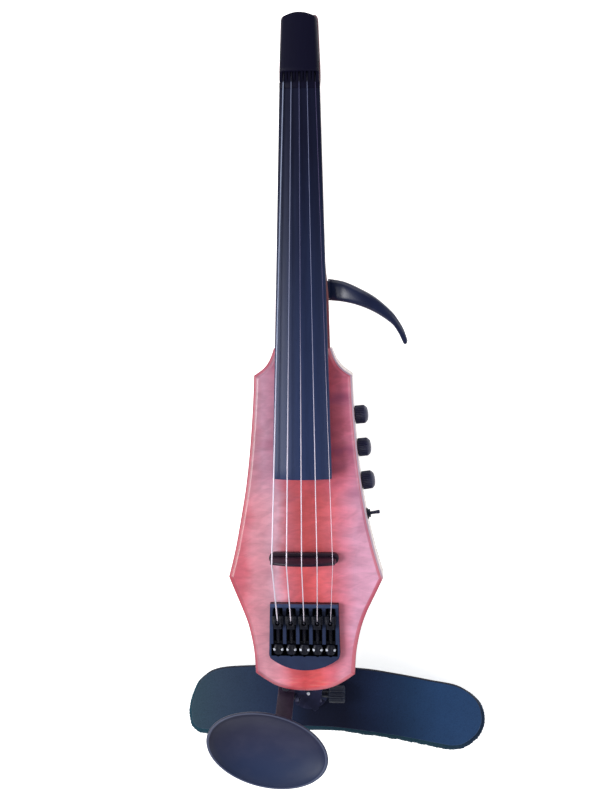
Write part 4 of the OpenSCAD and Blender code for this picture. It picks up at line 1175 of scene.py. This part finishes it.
def bowed(obj, step=3.0):
    """Slices a flat slab across its length and bends it along the shoulder's arc."""
    work = bmesh.new()
    work.from_mesh(obj.data)
    x = -96.0
    while x < 136:
        parts = work.verts[:] + work.edges[:] + work.faces[:]
        bmesh.ops.bisect_plane(work, geom=parts, plane_co=(x, 0, 0), plane_no=(1, 0, 0))
        x += step
    for vert in work.verts:
        lean = REST_ARC - math.sqrt(REST_ARC ** 2 - (vert.co.x - REST_MID_X) ** 2)
        vert.co.z += REST_TOP_Z - lean
    work.to_mesh(obj.data)
    work.free()
    return obj


slab = [(0.9, 0.0), (0.45, 0.1), (0.15, 0.4), (0.0, 0.9), (0.0, 3.4), (0.3, 3.9)]
bar = shape("shoulder_bar_slab", loft([bar_ring(d, z) for d, z in slab]))
cut(bar, upright(0, TILT_Y, -20, 20, 4.1, 48), upright(0, TILT_Y, -0.4, 4, 15.45, 96))
bowed(bar)
put(bar, "shoulder_rest", GRIP, ["shoulder_bar"], smooth=42)


def padded_block():
    """The foam pad, swelled by a short cloth run and then ribbed along its edge."""
    layers = [(0.6, 4.1), (-0.2, 4.2), (-0.5, 5.0), (-0.2, 10), (1.0, 13.6), (2.4, 16.2), (4.8, 17.2)]
    rings = [rest_ring(d, z, PAD_START + PAD_DRAW * (z - 4)) for d, z in layers]
    pad = bowed(shape("shoulder_pad_foam", loft(rings)), 6.0)
    step = pad.modifiers.new("remesh", "REMESH")
    step.mode, step.voxel_size = "VOXEL", PAD_GRAIN
    apply(pad)
    rest = [v.co.copy() for v in pad.data.vertices]
    # The run is made at true size, in metres.
    pad.data.transform(Matrix.Scale(0.001, 4))
    cloth = pad.modifiers.new("cloth", "CLOTH")
    cloth.settings.quality = 6
    cloth.settings.use_pressure = True
    cloth.settings.uniform_pressure_force = 3
    cloth.settings.effector_weights.gravity = 0
    cloth.settings.tension_stiffness = cloth.settings.compression_stiffness = 25
    cloth.point_cache.frame_start, cloth.point_cache.frame_end = 1, SOFT_STEPS
    for number in range(1, SOFT_STEPS + 1):
        bpy.context.scene.frame_set(number)
    apply(pad)
    bpy.context.scene.frame_set(1)
    pad.data.transform(Matrix.Scale(1000, 4))
    for vert, start in zip(pad.data.vertices, rest):
        push = vert.co - start
        if push.length > PAD_PUSH:
            vert.co = start + push.normalized() * PAD_PUSH
    finer(pad, 1)
    for vert, rib in zip(pad.data.vertices, edge_ribs(pad)):
        vert.co.xy += rib
    return pad


def edge_ribs(pad):
    """Sideways moves that press a row of ribs into the pad's outer wall."""
    line = inset(REST_LINE, 0.8 * REST_SIDE)
    far, total = [0.0], 0.0
    for a, b in zip(line, line[1:] + line[:1]):
        total += math.hypot(b[0] - a[0], b[1] - a[1])
        far.append(total)
    tree = KDTree(len(line))
    for n, p in enumerate(line):
        tree.insert((p[0], p[1], 0), n)
    tree.balance()
    out = []
    for vert in pad.data.vertices:
        spot = vert.co.xy
        _, n, near = tree.find((*spot, 0))
        before, here, after = (Vector(line[m % len(line)]) for m in (n - 1, n, n + 1))
        ahead = (after - before).normalized()
        inward = Vector((-ahead.y, ahead.x))
        if inward.dot(Vector((REST_MID_X, REST_MID_Y)) - spot) < 0:
            inward = -inward
        where = far[n] + (spot - here).dot(ahead)
        wave = 0.5 - 0.5 * math.cos(2 * math.pi * where / RIB_PITCH)
        out.append(inward * (RIB_DEEP * smooth_step(near, 3.2, 1.2) * wave))
    return out


pad = padded_block()
put(pad, "shoulder_rest", FOAM, ["shoulder_pad"], smooth=60)


# Small parts: grip ribs on the battery door and the bracket's set screw ---------------------------
ribs = [block((x, -21.5, -BODY_DEPTH), (x + 0.8, -12.5, -BODY_DEPTH + 0.5))
        for x in (-31 + 1.6 * k for k in range(8))]
door_ribs = rounded(shape("battery_door_ribs", merged(*ribs)), 0.15, 2, 40)
put(door_ribs, "battery_door", BOX_BLACK, ())

set_screw = turned([(0.01, -0.6), (1.2, -0.6), (1.25, 0.3), (1.05, 0.62), (0.6, 0.7), (0.5, 0.35),
                    (0.01, 0.3)], 24)
set_screw = shape("bracket_set_screw", moved(set_screw, Matrix.Translation((0.2, -112.8, -BODY_DEPTH))))
# Its white finish is a painted highlight.
put(set_screw, "instrument", GLINT_WHITE, (), smooth=50)


# Carried-over CAD nodes --------------------------------------------------------------------------
CARRIED = [
    (STEEL, 0.2, "truss_rod neck_screws hook_screw bracket_screws volume_pot bass_pot treble_pot"),
    (STEEL, 0.15, "cover_screws"),
    (STEEL, 0.25, "chin_arm_screw"),
    (BRIGHT, 0.2, "bracket_stud"),
    (THUMB_BLACK, 0.15, "switch_body"),
    (BOARD, 0.1, "circuit_board"),
    (BOX_BLACK, 0.35, "output_jack"),
    (BOX_BLACK, 0.2, "battery_box"),
    (BOX_BLACK, 0.25, "battery_door cavity_cover"),
    (CELL, 0.6, "battery"),
    (DARK_ALLOY, 0.5, "rest_bracket shoulder_hinge"),
    (RISER_ALLOY, 0.5, "chin_arm"),
]
for look, edge, nodes in CARRIED:
    for node in nodes.split():
        carried(node, look, edge)


# Camera, floor and light -------------------------------------------------------------------------
camera = bpy.data.objects.new("camera", bpy.data.cameras.new("camera"))
bpy.context.scene.collection.objects.link(camera)
seat = Matrix.Translation(SHIFT * 0.001) @ Matrix.Rotation(TILT, 4, "X")
turn = Euler(CAMERA_TURN, "XYZ").to_matrix().to_4x4()
camera.matrix_world = seat @ Matrix.Translation(CAMERA_SPOT) @ turn
camera.data.lens, camera.data.sensor_width = 50, 36
camera.data.clip_start, camera.data.clip_end = 0.01, 20
bpy.context.scene.camera = camera

floor = shape("floor", ([(-3, -3, 0), (3, -3, 0), (3, 3, 0), (-3, 3, 0)], [(0, 1, 2, 3)]))
floor_look = Look("floor_pale", (250, 250, 250), 0.9, Specular_IOR_Level=0.1, Emission_Color=(255, 255, 255),
                  Emission_Strength=0.7)
floor_look.colour(floor_look.mix(floor_look.noise(0.02, 3), (249, 249, 250), (253, 253, 253)))
floor.data.materials.append(floor_look.mat)

world = bpy.data.worlds.new("studio")
bpy.context.scene.world = world
world.use_nodes = True
sky = world.node_tree.nodes["Background"].inputs
sky["Color"].default_value, sky["Strength"].default_value = (0.84, 0.9, 1.0, 1.0), 0.15


def area_light(name, spot, size, energy):
    """A rectangular light aimed at the instrument's middle."""
    light = bpy.data.lights.new(name, "AREA")
    light.shape, light.size, light.size_y = "RECTANGLE", size[0], size[1]
    light.energy = energy
    obj = bpy.data.objects.new(name, light)
    bpy.context.scene.collection.objects.link(obj)
    obj.location = spot
    obj.rotation_euler = (-Vector(spot)).to_track_quat("-Z", "Y").to_euler()


area_light("key", (-1.0, 0.05, 1.0), (0.7, 0.7), 17)
area_light("right", (1.35, -0.1, 0.75), (1.5, 0.8), 9.3)
area_light("head", (-0.1, 1.5, 0.8), (1.5, 0.8), 7.4)
area_light("tail", (0.1, -1.45, 0.8), (1.5, 0.8), 8)
bpy.context.scene.view_settings.view_transform = "Standard"
